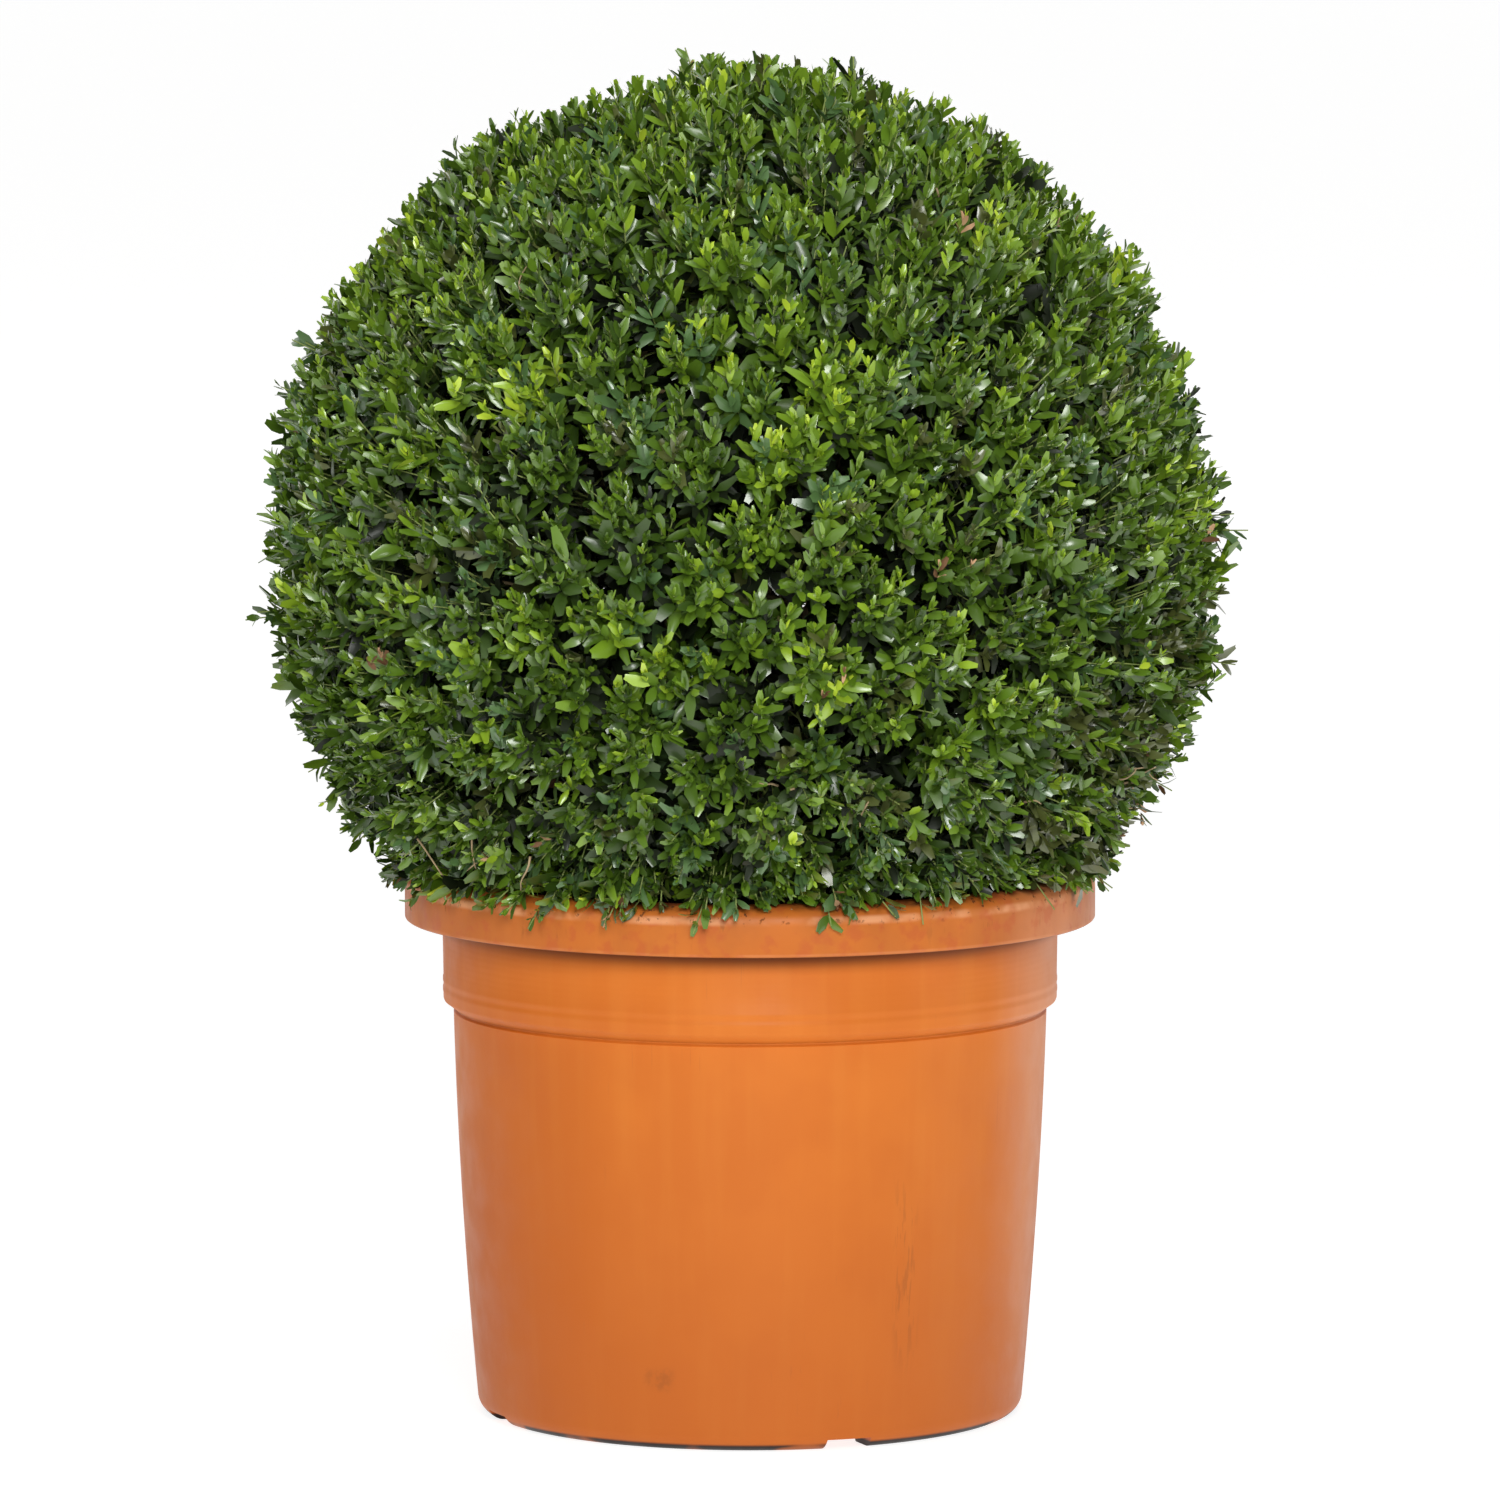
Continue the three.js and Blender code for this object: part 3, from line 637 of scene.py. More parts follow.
def along(curves, share):
    """The point at a share from 0 to 1 of each cubic curve, whose four guide points are its rows."""
    share = np.broadcast_to(share, len(curves))[:, None]
    rest = 1 - share
    first, second, third, last = np.moveaxis(curves, 1, 0)
    return rest**3 * first + 3 * rest**2 * share * second + 3 * rest * share**2 * third + share**3 * last


def heading(curves, share):
    """The direction in which each curve runs at a share of it."""
    share = np.broadcast_to(share, len(curves))[:, None]
    rest = 1 - share
    first, second, third, last = np.moveaxis(curves, 1, 0)
    return unit(rest**2 * (second - first) + 2 * rest * share * (third - second) + share**2 * (last - third))


def grow(parents, ends, tip_ways, forks):
    """Curves from the nearest parents to the given ends. Each leaves its parent at a seeded place and
    swings round to its own tip direction. Also says which parent each one has."""
    apart = unit(ends - BALL)[:, None] - unit(parents[:, 3] - BALL)[None]
    nearest = np.argmin(np.linalg.norm(apart, axis=-1), axis=1)
    place = rng.uniform(*forks, len(ends))
    starts = along(parents[nearest], place)
    reach = ends - starts
    third = np.linalg.norm(reach, axis=1, keepdims=True) / 3
    leaving = unit(heading(parents[nearest], place) + unit(reach))
    return np.stack([starts, starts + leaving * third, ends - tip_ways * third, ends], 1), nearest


def tubes(curves, root_r, tip_r, sides, steps):
    """Round tapering limbs along curves: their points in millimetres, and their faces."""
    chord = unit(curves[:, 3] - curves[:, 0])
    level = unit(np.cross(chord, unit(rng.normal(size=chord.shape))))
    turns = round_angles(sides)
    rings = []
    for i in range(steps + 1):
        share = i / steps
        side = unit(np.cross(heading(curves, share), level))
        up = np.cross(side, heading(curves, share))
        radius = root_r + (tip_r - root_r) * share
        round_it = side[:, None] * np.cos(turns)[:, None] + up[:, None] * np.sin(turns)[:, None]
        rings.append(along(curves, share)[:, None] + round_it * radius)
    return np.stack(rings, 1).reshape(-1, 3), ring_faces(len(curves), steps + 1, sides)


def first_boughs(stem, count, sway, reach, lift):
    """Curves of the boughs: they leave the stem one above the other, rise, and spread to all sides."""
    ways = golden_ways(count, sway)
    from_below = (1 + ways[:, 2]) / 2
    roots = along(np.repeat(stem, count, 0), from_below * BOUGH_ROOTS_OVER + BOUGH_ROOTS_FROM)
    ends = BALL + ways * reach
    third = np.linalg.norm(ends - roots, axis=1, keepdims=True) / 3
    leaving = unit(ends - roots + (0, 0, BOUGH_RISE))
    return np.stack([roots, roots + leaving * third, ends - unit(ways + (0, 0, lift)) * third, ends], 1)


def next_forks(parents, count, sway, reach, lift, forks):
    """Curves of the next forking, from the parents out to a larger ball."""
    ways = golden_ways(count, sway)
    ends = BALL + ways * reach * rng.uniform(*REACH_PLAY, (count, 1))
    kept = ends[:, 2] > INNER_LOW_Z
    return grow(parents, ends[kept], unit(ways[kept] + (0, 0, lift)), forks)[0]


def put_together(tube_sets):
    """Several sets of points and face groups as one."""
    points = np.concatenate([points for points, faces in tube_sets])
    groups, first = [], 0
    for set_points, faces in tube_sets:
        groups += [group + first for group in faces]
        first += len(set_points)
    return points, groups


stem = np.array([[STEM_LOW, STEM_LOW + STEM_LOW_GUIDE, STEM_TOP - STEM_TOP_GUIDE, STEM_TOP]])
boughs = first_boughs(stem, **BOUGH_GROWTH)
branches = next_forks(boughs, **BRANCH_GROWTH)
branch_tubes = tubes(branches, **BRANCHES)
twigs = next_forks(branches, **TWIG_GROWTH)
twig_points, twig_groups = tubes(twigs, **TWIGS)
bough_points, bough_groups = put_together([tubes(stem, **STEM), tubes(boughs, **BOUGHS)])
for point in bough_points:
    point[:2] += fissures(point, BOUGH_FISSURE_DEPTH) * BOUGH_FISSURE_SLANT
wood_points, wood_groups = put_together([(bough_points, bough_groups), branch_tubes])
wood = mesh_object("boughs_and_branches", wood_points * MM, wood_groups, [bark])
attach(wood, "root")
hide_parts("foliage_ball")


def young_stem(name, colour, roughness):
    """The thin smooth skin of a young stem, a little waxy: green on this year's shoots, light brown on
    older twigs, and dry and pale where the stem has died."""
    return new_material(name, {"Base Color": linear(colour), "Roughness": roughness, "IOR": 1.45})[0]


twig_bark = young_stem("grey_brown_twig_bark", "#8d7c58", 0.7)
twig_piece = mesh_object("twigs", twig_points * MM, twig_groups, [twig_bark])
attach(twig_piece, "root")
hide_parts("foliage_ball")

# Shoots: this year's green growth, clipped to a ball. They grow from the twigs in loose tufts. A few
# have outgrown the shears, short old ones fill the dark inside, and the lowest lie over the pot's rim.
SHOOTS = 6700
SHOOT_SWAY = 0.04
SHOOT_REACH = 323.5
SHOOT_PLAY = 5.5
SHOOT_LIFT = 1.35
SHOOT_LIFT_FROM = -0.75
SHOOT_LIFT_OVER = 0.6
SHOOT_JITTER = 0.38
SHOOT_FORKS = (0.5, 1.0)
SHOOT_TUBES = {"root_r": 1.1, "tip_r": 0.55, "sides": 3, "steps": 2}
CLUSTER_PULL = 0.21
CLUSTER_PLAY = 7.0
LUMP = 4.0
LUMP_WAVES = 6
LUMP_WAVE_RATE = 6.5
LUMP_WAVES_SPREAD = 3.2
DEEPER_CUTS = ((-88, 10, 13), (40, 4, 14), (92, 5, 9), (25, 3, 8))
MOST_REACH = 347.5
DEPTH_CUT = 5
TIP_LEAF_ROOM = 4
LOWEST_WAY = -0.68
STRAY_SHOOTS = (
    (-6.6, 347), (12.7, 347), (88.3, 350.5), (103.7, 352), (119.9, 344),
    (-65.4, 343), (-98.6, 349), (-117.7, 341), (-127.8, 346),
)
STRAY_BROTHERS = 4
STRAY_SPREAD = 0.018
STRAY_STEPS = (5, 4)
STRAY_JITTER_SHARE = 0.2
RIM_SHOOTS = 640
RIM_SHOOT_RADII = (208, 253)
RIM_HANG = (-19, 5)
RIM_LIE = (3, 24)
RIM_HANG_DROP = -0.7
RIM_LIE_DROP = -0.2
RIM_JITTER = 0.28
RIM_GAP = 0.8
INNER_SHOOTS = 2500
INNER_SWAY = 0.12
INNER_REACH = (212, 290)
INNER_JITTER = 0.6


def rim_height(radius):
    """Height of the pot's upper surface at a distance from the axis: compost, rolled lip, then shoulder."""
    within = np.clip(MOUTH_R + LIP_R - radius, 0, None)
    lip = RIM_TOP_Z - LIP_R + np.sqrt(np.clip(LIP_R**2 - within**2, 0, None))
    across = np.clip(radius - (RIM_R - SHOULDER_R), 0, None)
    shoulder = RIM_TOP_Z - SHOULDER_R + np.sqrt(np.clip(SHOULDER_R**2 - across**2, 0, None))
    height = np.where(radius < MOUTH_R + LIP_R, lip, shoulder)
    height = np.where(radius < MOUTH_R, COMPOST_MID_Z, height)
    return np.where(radius > RIM_R + RIM_GAP, -np.inf, height)


def clear_of_pot(points):
    """True for points in millimetres that lie above the rim and the compost or outside the pot."""
    return points[..., 2] > rim_height(np.hypot(points[..., 0], points[..., 1])) + RIM_GAP


def lumps(ways):
    """The ball's unevenness in millimetres, where the shears went less or more deep. The deeper cuts show
    on the outline: each has its angle from the top, its depth and its half width in degrees."""
    waves = np.zeros(len(ways))
    for i in range(LUMP_WAVES):
        waves += np.cos(ways @ rng.normal(0, LUMP_WAVE_RATE, 3) + rng.uniform(0, 2 * math.pi))
    height = LUMP * waves / LUMP_WAVES_SPREAD
    for deg, depth, half_width in DEEPER_CUTS:
        turn = math.radians(deg)
        apart = np.degrees(np.arccos(np.clip(ways @ (math.sin(turn), 0, math.cos(turn)), -1, 1)))
        height -= depth * np.exp(-((apart / half_width) ** 2))
    return height


def clipped_shoots():
    """Ends, tip directions and outer limits of the shoots that make the ball's surface, in loose tufts."""
    ways = golden_ways(SHOOTS, SHOOT_SWAY)
    ways = ways[ways[:, 2] > LOWEST_WAY]
    tuft_ways = unit(twigs[:, 3] - BALL)
    tuft = np.argmin(np.linalg.norm(ways[:, None] - tuft_ways[None], axis=-1), axis=1)
    ways = unit(ways * (1 - CLUSTER_PULL) + tuft_ways[tuft] * CLUSTER_PULL)
    reach = SHOOT_REACH + lumps(ways) + CLUSTER_PLAY * rng.uniform(-1, 1, len(twigs))[tuft]
    most = MOST_REACH - DEPTH_CUT * ways[:, 1] ** 2
    reach = np.minimum(reach + rng.normal(0, SHOOT_PLAY, len(ways)), most - TIP_LEAF_ROOM)
    lift = SHOOT_LIFT * np.clip((ways[:, 2:] - SHOOT_LIFT_FROM) / SHOOT_LIFT_OVER, 0, 1)
    tips = unit(ways + lift * (0, 0, 1) + rng.normal(0, SHOOT_JITTER, (len(ways), 3)))
    return BALL + ways * reach[:, None], tips, most


def stray_shoots():
    """Shoots that have outgrown the last clipping, each by its angle from the top and its reach, with a
    few shorter ones beside it."""
    ways, reach = [], []
    first_step, step = STRAY_STEPS
    for deg, far in STRAY_SHOOTS:
        turn = math.radians(deg)
        for i in range(STRAY_BROTHERS):
            shift = rng.normal(0, STRAY_SPREAD, 3) if i else np.zeros(3)
            ways.append((math.sin(turn) + shift[0], shift[1], math.cos(turn) + shift[2]))
            reach.append(far - (first_step + step * i if i else 0))
    ways, reach = unit(np.array(ways)), np.array(reach, float)
    tips = unit(ways + rng.normal(0, SHOOT_JITTER * STRAY_JITTER_SHARE, (len(ways), 3)))
    return BALL + ways * reach[:, None], tips, reach + 1


def rim_shoots():
    """Shoots that lie on the pot's rim, the farthest of which hang down over its edge."""
    turn = (np.arange(RIM_SHOOTS) + rng.random(RIM_SHOOTS)) * 2 * math.pi / RIM_SHOOTS
    out = np.stack([np.cos(turn), np.sin(turn), np.zeros(RIM_SHOOTS)], -1)
    far = rng.uniform(*RIM_SHOOT_RADII, RIM_SHOOTS)
    over = far > RIM_R + 2
    ends = out * far[:, None]
    hanging, lying = rng.uniform(*RIM_HANG, RIM_SHOOTS), rng.uniform(*RIM_LIE, RIM_SHOOTS)
    ends[:, 2] = RIM_TOP_Z + np.where(over, hanging, lying)
    drop = np.where(over, RIM_HANG_DROP, RIM_LIE_DROP)[:, None] * (0, 0, 1)
    tips = unit(out + drop + rng.normal(0, RIM_JITTER, (RIM_SHOOTS, 3)))
    return ends, tips, np.full(RIM_SHOOTS, MOST_REACH)


def inner_shoots():
    """Short old shoots behind the surface, which close the view into the ball."""
    ways = golden_ways(INNER_SHOOTS, INNER_SWAY)
    reach = rng.uniform(*INNER_REACH, len(ways))
    ends = BALL + ways * reach[:, None]
    kept = ends[:, 2] > INNER_LOW_Z
    tips = unit(ways[kept] + rng.normal(0, INNER_JITTER, (kept.sum(), 3)))
    return ends[kept], tips, np.full(kept.sum(), MOST_REACH)


kinds = [clipped_shoots(), stray_shoots(), rim_shoots(), inner_shoots()]
shoot_ends, shoot_tips, limit = (np.concatenate(rows) for rows in zip(*kinds))
inner = np.arange(len(limit)) >= len(limit) - len(kinds[-1][0])
shoots, twig_of_shoot = grow(twigs, shoot_ends, shoot_tips, SHOOT_FORKS)
free = np.all([clear_of_pot(along(shoots, share)) for share in np.linspace(0, 1, 9)], axis=0)
shoots, limit, inner, twig_of_shoot = shoots[free], limit[free], inner[free], twig_of_shoot[free]

shoot_points, shoot_groups = tubes(shoots, **SHOOT_TUBES)
shoot_bark = young_stem("green_shoot_bark", "#86964e", 0.55)
shoot_piece = mesh_object("shoots", shoot_points * MM, shoot_groups, [shoot_bark])
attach(shoot_piece, "root")
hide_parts("foliage_ball")

# Bare stems: shoots that have died and lost their leaves. They stay in the ball as thin dry sticks, a
# few in plain sight low on the front and at the right, and short ones here and there between the leaves.
BARE_STEM_TUBES = {"root_r": 0.9, "tip_r": 0.4, "sides": 5, "steps": 6}
BARE_STEM_BOW = 3
BARE_STEMS = (
    (-42, -33, 326, -44, -38, 331), (-33, -36, 326, -37, -41, 331), (-56, -35, 327, -54, -42, 331),
    (-48, -39, 326, -43, -37, 331), (17, -27, 326, 16, -30, 331), (8, -44, 326, 12, -46, 330),
    (64, -26, 325, 66, -25, 334), (65, -28, 326, 68, -28, 336), (62, -27, 325, 63, -25, 333),
    (67, -27, 330, 68, -25, 337), (66, -30, 325, 69, -31, 334), (69, -26, 328, 71, -27, 338),
)
STRAY_STEMS = 24
STRAY_STEM_RISE = (-36, 60)
STRAY_STEM_ROOTS = (314, 322)
STRAY_STEM_TIPS = (322, 330)
STRAY_STEM_SLANT = 1.4
STRAY_STEM_LIFT = 2


def ball_point(azimuth_deg, height_deg, reach):
    """A point by its angle from the front towards the right, its angle of height and its reach."""
    turn, rise = np.radians(azimuth_deg), np.radians(height_deg)
    way = np.stack([np.sin(turn) * np.cos(rise), -np.cos(turn) * np.cos(rise), np.sin(rise)], -1)
    return BALL + way * np.asarray(reach)[..., None]


def bare_stems():
    """Curves of the bare stems: the placed ones, with both ends as ball_point takes them, and seeded ones."""
    rows = np.array(BARE_STEMS, float)
    turn, rise = rng.uniform(-180, 180, STRAY_STEMS), rng.uniform(*STRAY_STEM_RISE, STRAY_STEMS)
    low, high = rng.uniform(*STRAY_STEM_ROOTS, STRAY_STEMS), rng.uniform(*STRAY_STEM_TIPS, STRAY_STEMS)
    across = rng.normal(0, STRAY_STEM_SLANT, STRAY_STEMS)
    up = rng.normal(STRAY_STEM_LIFT, STRAY_STEM_SLANT, STRAY_STEMS)
    rows = np.concatenate([rows, np.stack([turn, rise, low, turn + across, rise + up, high], -1)])
    starts, ends = ball_point(*rows[:, :3].T), ball_point(*rows[:, 3:].T)
    third = (ends - starts) / 3
    bow = rng.normal(0, BARE_STEM_BOW, (2, len(rows), 3))
    return np.stack([starts, starts + third + bow[0], ends - third + bow[1], ends], 1)


stem_points, stem_groups = tubes(bare_stems(), **BARE_STEM_TUBES)
dry_wood = young_stem("dry_pale_stem_wood", "#a8926f", 0.8)
stems = mesh_object("bare_stems", stem_points * MM, stem_groups, [dry_wood])
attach(stems, "root")
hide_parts("foliage_ball")

# Leaves: small and leathery, in pairs along each shoot, each pair crosswise to the next, from young ones
# at its tip to old ones further in. Their colours run from near black to yellow-green by shoot and by
# age, and painted shade darkens the inner shoots' leaves and those by the rim. A few shoots are bluish,
# dull or dead.
LEAF_LENGTHS = (6.5, 11, 14.5, 16.5, 17.5, 17.5, 17)
LEAF_PITCHES = (12, 22, 31, 38, 44, 49, 53)
PAIR_GAP = 7.0
PAIR_GAP_GROWTH = 1.07
TIP_GAP_SHARE = 0.5
INNER_PAIRS = (1, 5)
DEEP_PAIR = 4
LEAF_TURN_PLAY = 0.35
LEAF_PITCH_PLAY = 0.2
LEAF_ROLL_PLAY = 0.4
LEAF_LENGTH_PLAY = 0.15
LEAF_WIDTH_SHARE = 0.39
LEAF_WIDTH_PLAY = 0.14
LEAF_WIDTHS = (0.6, 1.4)
LEAF_OUTLINE = ((0.22, 0.72), (0.56, 1.0), (0.96, 0.46))
DEEP_LEAF_OUTLINE = ((0.42, 1.0), (0.95, 0.46))
LEAF_NOTCH = 0.02
LEAF_ARCH = 0.05
LEAF_FOLD = (0.02, 0.32)
LEAF_DROOP = (0.1, 0.14)
SHOOT_SIZE_PLAY = 0.15
SHOOT_SIZES = (0.65, 1.4)
INNER_LEAF_SIZE = 1.8
PIECE_TRIANGLES = 190000


def box_leaf(name, colour, roughness=0.4, coat=0.85):
    """A box leaf: thick, leathery and hairless. The waxy skin gives small glints over the green, and has
    gone dull on old shaded leaves and on dead ones."""
    values = {"Base Color": linear(colour), "Roughness": roughness, "IOR": 1.45}
    values.update({"Coat Weight": coat, "Coat Roughness": 0.24})
    return new_material(f"box_leaf_{name}", values)[0]


LEAF_MATERIALS = [
    # shaded_old is near black: it is painted shade, and the inner shoots' leaves mostly get it.
    box_leaf("shaded_old", "#141f05", 0.6, 0.15),
    box_leaf("old", "#344d10", 0.45, 0.6),
    box_leaf("deep_green", "#486515"),
    box_leaf("green", "#597919"),
    box_leaf("bright_green", "#6f8f1f"),
    box_leaf("fresh", "#8fae29"),
    box_leaf("new_tip", "#b6ce38"),
    box_leaf("blue_green", "#52723f"),
    box_leaf("dull_olive", "#525a2a"),
    box_leaf("dead_tan", "#c39b75", 0.7, 0.0),
    box_leaf("dead_brown", "#6d4c30", 0.75, 0.0),
]
FRESHEST = 6
BLUE_GREEN, DULL_OLIVE, DEAD_TAN, DEAD_BROWN = 7, 8, 9, 10
MIDDLE_TINT = 2.9
TWIG_TINT_PLAY = 0.45
SHOOT_TINT_PLAY = 0.75
LEAF_TINT_PLAY = 0.62
HEIGHT_TINT = 0.4
TIP_TINT = 0.8
TINT_FALL = 0.52
# Painted shade: how far the tint falls for the inner shoots' leaves and for the leaves by the rim.
INNER_PAINTED_SHADE = 2.9
RIM_PAINTED_SHADE = 0.4
RIM_TINT_HEIGHT = 45
BLUISH_SHARE = 0.08
BLUISH_BY_RIM = 0.06
DULL_SHARE = 0.03
DULL_PLACE = (68, -24)
DULL_PLACE_SHARE = 0.4
DULL_PLACE_FROM = 0.93
DULL_PLACE_OVER = 0.05
DEAD_ANYWHERE = 0.003
DEAD_SHARE = 0.6
DEAD_TAN_SHARE = 0.55
DEAD_SHRINK = 0.75
DEAD_PAIRS = 3
DEAD_SIDE_BY_SIDE = 2
STANDING_OUT = 0.0004
DEAD_SHOOTS = (
    (12.3, -12.4), (-46.7, -6.6), (-32.3, -32), (-19.4, -42.5),
    (8.8, -45), (25.5, 0.6), (84, -30), (80, -34),
)

count = len(shoots)
freshness = MIDDLE_TINT + rng.normal(0, TWIG_TINT_PLAY, len(twigs))[twig_of_shoot]
height_share = HEIGHT_TINT * (shoots[:, 3, 2] - BALL[2]) / SHOOT_REACH
freshness += rng.normal(0, SHOOT_TINT_PLAY, count) + height_share
by_rim = shoots[:, 3, 2] < RIM_TOP_Z + RIM_TINT_HEIGHT
# Painted shade: the inner shoots' leaves and the leaves by the rim get darker colours.
freshness -= INNER_PAINTED_SHADE * inner + RIM_PAINTED_SHADE * by_rim
bluish = rng.random(count) < BLUISH_SHARE + BLUISH_BY_RIM * by_rim
shoot_ways = unit(shoots[:, 3] - BALL)
shoot_reach = np.linalg.norm(shoots[:, 3] - BALL, axis=1)
near_dull = shoot_ways @ unit(ball_point(*DULL_PLACE, SHOOT_REACH) - BALL)
in_dull_place = np.clip((near_dull - DULL_PLACE_FROM) / DULL_PLACE_OVER, 0, 1)
dull = rng.random(count) < DULL_SHARE + DULL_PLACE_SHARE * in_dull_place
dead = rng.random(count) < DEAD_ANYWHERE
for azimuth, height in DEAD_SHOOTS:
    way = unit(ball_point(azimuth, height, SHOOT_REACH) - BALL)
    outmost_near = np.argsort(shoot_ways @ way + STANDING_OUT * shoot_reach)
    dead[outmost_near[-DEAD_SIDE_BY_SIDE:]] = True
shoot_size = np.clip(rng.normal(1, SHOOT_SIZE_PLAY, count), *SHOOT_SIZES)
shoot_size *= np.where(inner, INNER_LEAF_SIZE, 1)
shoot_long = np.linalg.norm(shoots[:, 3] - shoots[:, 0], axis=1)
pair_turn = rng.uniform(0, math.pi, count)
guide = unit(rng.normal(size=(count, 3)))

leaf_rows = []
back = 0.0
for pair, (length, pitch_deg) in enumerate(zip(LEAF_LENGTHS, LEAF_PITCHES)):
    share = np.clip(1 - back / shoot_long, 0, 1)
    way = heading(shoots, share)
    side_0 = unit(np.cross(way, guide))
    side_90 = np.cross(way, side_0)
    bears = (~inner | (INNER_PAIRS[0] <= pair <= INNER_PAIRS[1])) & (back < shoot_long)
    for half_turn in (0, math.pi):
        turn_play = rng.normal(0, LEAF_TURN_PLAY, count)
        turn = (pair_turn + pair * math.pi / 2 + half_turn + turn_play)[:, None]
        side = side_0 * np.cos(turn) + side_90 * np.sin(turn)
        pitch = np.radians(pitch_deg * rng.normal(1, LEAF_PITCH_PLAY, count))[:, None]
        leaf_way = way * np.cos(pitch) + side * np.sin(pitch)
        face = way * np.sin(pitch) - side * np.cos(pitch)
        roll = rng.normal(0, LEAF_ROLL_PLAY, count)[:, None]
        face = face * np.cos(roll) + np.cross(leaf_way, face) * np.sin(roll)
        tint = freshness + TIP_TINT - TINT_FALL * pair + rng.normal(0, LEAF_TINT_PLAY, count)
        tint = np.clip(np.round(tint), 0, FRESHEST)
        tint[bluish & (pair > 0)] = BLUE_GREEN
        tint[dull] = DULL_OLIVE
        dry = dead & (rng.random(count) < DEAD_SHARE) & (pair < DEAD_PAIRS)
        tint[dry] = np.where(rng.random(dry.sum()) < DEAD_TAN_SHARE, DEAD_TAN, DEAD_BROWN)
        long = length * shoot_size * rng.normal(1, LEAF_LENGTH_PLAY, count)
        long *= np.where(dry, DEAD_SHRINK, 1)
        deep = inner | (pair >= DEEP_PAIR)
        row = (along(shoots, share), leaf_way, face, long, tint, np.arange(count), deep)
        leaf_rows.append([values[bears] for values in row])
    back += PAIR_GAP * PAIR_GAP_GROWTH**pair * (TIP_GAP_SHARE if pair == 0 else 1)
all_leaves = [np.concatenate(rows) for rows in zip(*leaf_rows)]


def leaf_points(roots, ways, faces, lengths, outline):
    """Points of each leaf: its root, then rows of left edge, midrib and right edge as the outline says.
    The blade arches and droops towards its blunt notched tip, and its halves fold up or down."""
    count = len(roots)
    across = np.cross(faces, ways)
    width_play = np.clip(rng.normal(1, LEAF_WIDTH_PLAY, count), *LEAF_WIDTHS)
    half = lengths * LEAF_WIDTH_SHARE * width_play / 2
    fold = rng.normal(*LEAF_FOLD, count)
    droop = rng.normal(*LEAF_DROOP, count)
    points = np.empty((count, 1 + 3 * len(outline), 3))
    points[:, 0] = roots
    for row, (far, wide) in enumerate(outline):
        for i, side in enumerate((-1, 0, 1)):
            x = lengths * (far - (LEAF_NOTCH if side == 0 and row == len(outline) - 1 else 0))
            y = side * half * wide
            arch = LEAF_ARCH * math.sin(math.pi * far) - droop * far**2
            z = arch * lengths - abs(side) * fold * half * wide
            points[:, 1 + 3 * row + i] = roots + ways * x[:, None] + across * y[:, None] + faces * z[:, None]
    return points


def leaf_face_groups(count, rows):
    """Two triangles at each leaf's root and pairs of quads between its rows."""
    first = np.arange(count)[:, None, None] * (1 + 3 * rows)
    triangles = first + np.array([(0, 2, 1), (0, 3, 2)])
    quads = [
        (1 + 3 * row + i, 2 + 3 * row + i, 5 + 3 * row + i, 4 + 3 * row + i)
        for row in range(rows - 1)
        for i in range(2)
    ]
    return [triangles.reshape(-1, 3), (first + np.array(quads)).reshape(-1, 4)]


for name, outline, chosen in (
    ("leaves", LEAF_OUTLINE, ~all_leaves[6]),
    ("deep_leaves", DEEP_LEAF_OUTLINE, all_leaves[6]),
):
    roots, leaf_ways, leaf_faces, lengths, tints, owners = (values[chosen] for values in all_leaves[:6])
    blades = leaf_points(roots, leaf_ways, leaf_faces, lengths, outline)
    inside = np.linalg.norm(blades - BALL, axis=-1) < limit[owners][:, None]
    kept = (inside & clear_of_pot(blades)).all(axis=1)
    order = np.argsort(owners[kept], kind="stable")
    blades, tints = blades[kept][order], tints[kept][order]
    quads_each = 2 * (len(outline) - 1)
    a_piece = PIECE_TRIANGLES // (2 + 2 * quads_each)
    for piece, first in enumerate(range(0, len(blades), a_piece), 1):
        part = blades[first : first + a_piece]
        tint = tints[first : first + a_piece]
        slots = np.concatenate([np.repeat(tint, 2), np.repeat(tint, quads_each)])
        faces = leaf_face_groups(len(part), len(outline))
        leaves = mesh_object(f"{name}_{piece}", part.reshape(-1, 3) * MM, faces, LEAF_MATERIALS, slots)
        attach(leaves, "root")
        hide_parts("foliage_ball")

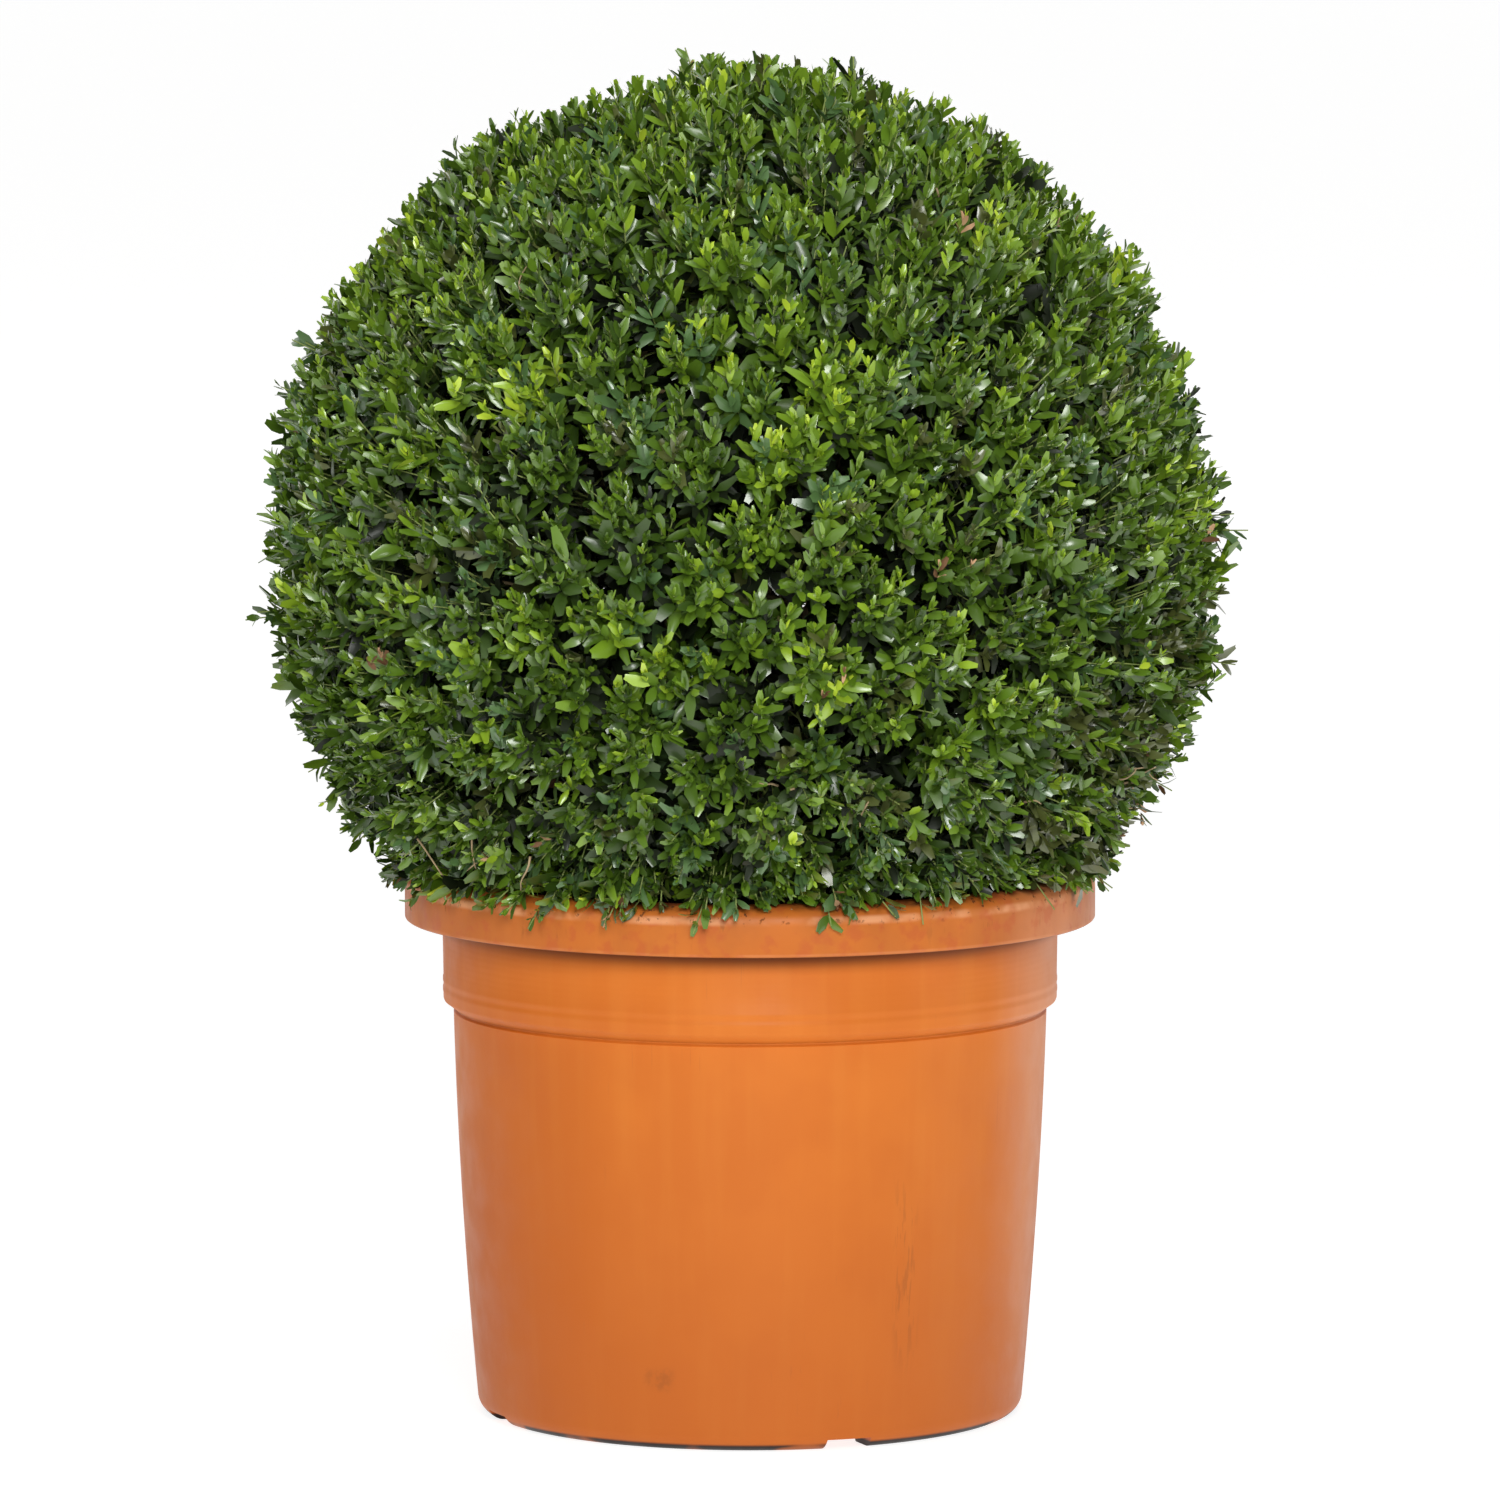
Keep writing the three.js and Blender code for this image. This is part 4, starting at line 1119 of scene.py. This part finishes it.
# Studio: a pale seamless paper that runs along the floor and curves up far behind the plant, a soft box
# nearly in front, weaker ones at both sides and above, and white walls all round that fill the shadows.
FLOOR_HALF = 11.0
FLOOR_FRONT = 17.6
SWEEP_START = 8.4
SWEEP_R = 1.6
SWEEP_STEPS = 16
SWEEP_TOP = 12.0
LAMP_AIM = Vector((0, 0, 0.5))
LAMPS = (
    ("key_lamp", (0.25, -3.1, 1.55), 1.0, 64),
    ("left_lamp", (-2.5, -1.8, 2.1), 1.2, 17),
    ("right_lamp", (2.8, -0.7, 0.7), 1.2, 10),
    ("top_lamp", (0.1, -0.6, 3.3), 1.1, 33),
)
WALLS_LIGHT = 0.13

sweep_section = [
    (-FLOOR_FRONT, 0.0),
    *arc(SWEEP_START, SWEEP_R, SWEEP_R, -90, 0, SWEEP_STEPS),
    (SWEEP_START + SWEEP_R, SWEEP_TOP),
]
sweep_points = np.array([(x, y, z) for y, z in sweep_section for x in (-FLOOR_HALF, FLOOR_HALF)])
sweep_quads = np.array([(2 * i, 2 * i + 1, 2 * i + 3, 2 * i + 2) for i in range(len(sweep_section) - 1)])
paper_glow = {"Emission Color": (1, 1, 1, 1), "Emission Strength": 0.85}
paper_values = {"Base Color": linear("#9a9a99"), "Roughness": 0.9, **paper_glow}
paper = new_material("white_background_paper", paper_values)[0]
mesh_object("studio_sweep", sweep_points, [sweep_quads], [paper])

for name, place, size, watts in LAMPS:
    lamp = bpy.data.lights.new(name, "AREA")
    lamp.size = size
    lamp.energy = watts
    holder = bpy.data.objects.new(name, lamp)
    holder.location = place
    holder.rotation_euler = (LAMP_AIM - holder.location).to_track_quat("-Z", "Y").to_euler()
    bpy.context.scene.collection.objects.link(holder)
world = bpy.data.worlds.new("studio_walls")
world.use_nodes = True
walls = world.node_tree.nodes["Background"]
walls.inputs["Color"].default_value = (1, 1, 1, 1)
walls.inputs["Strength"].default_value = WALLS_LIGHT
bpy.context.scene.world = world
bpy.context.scene.view_settings.view_transform = "Standard"
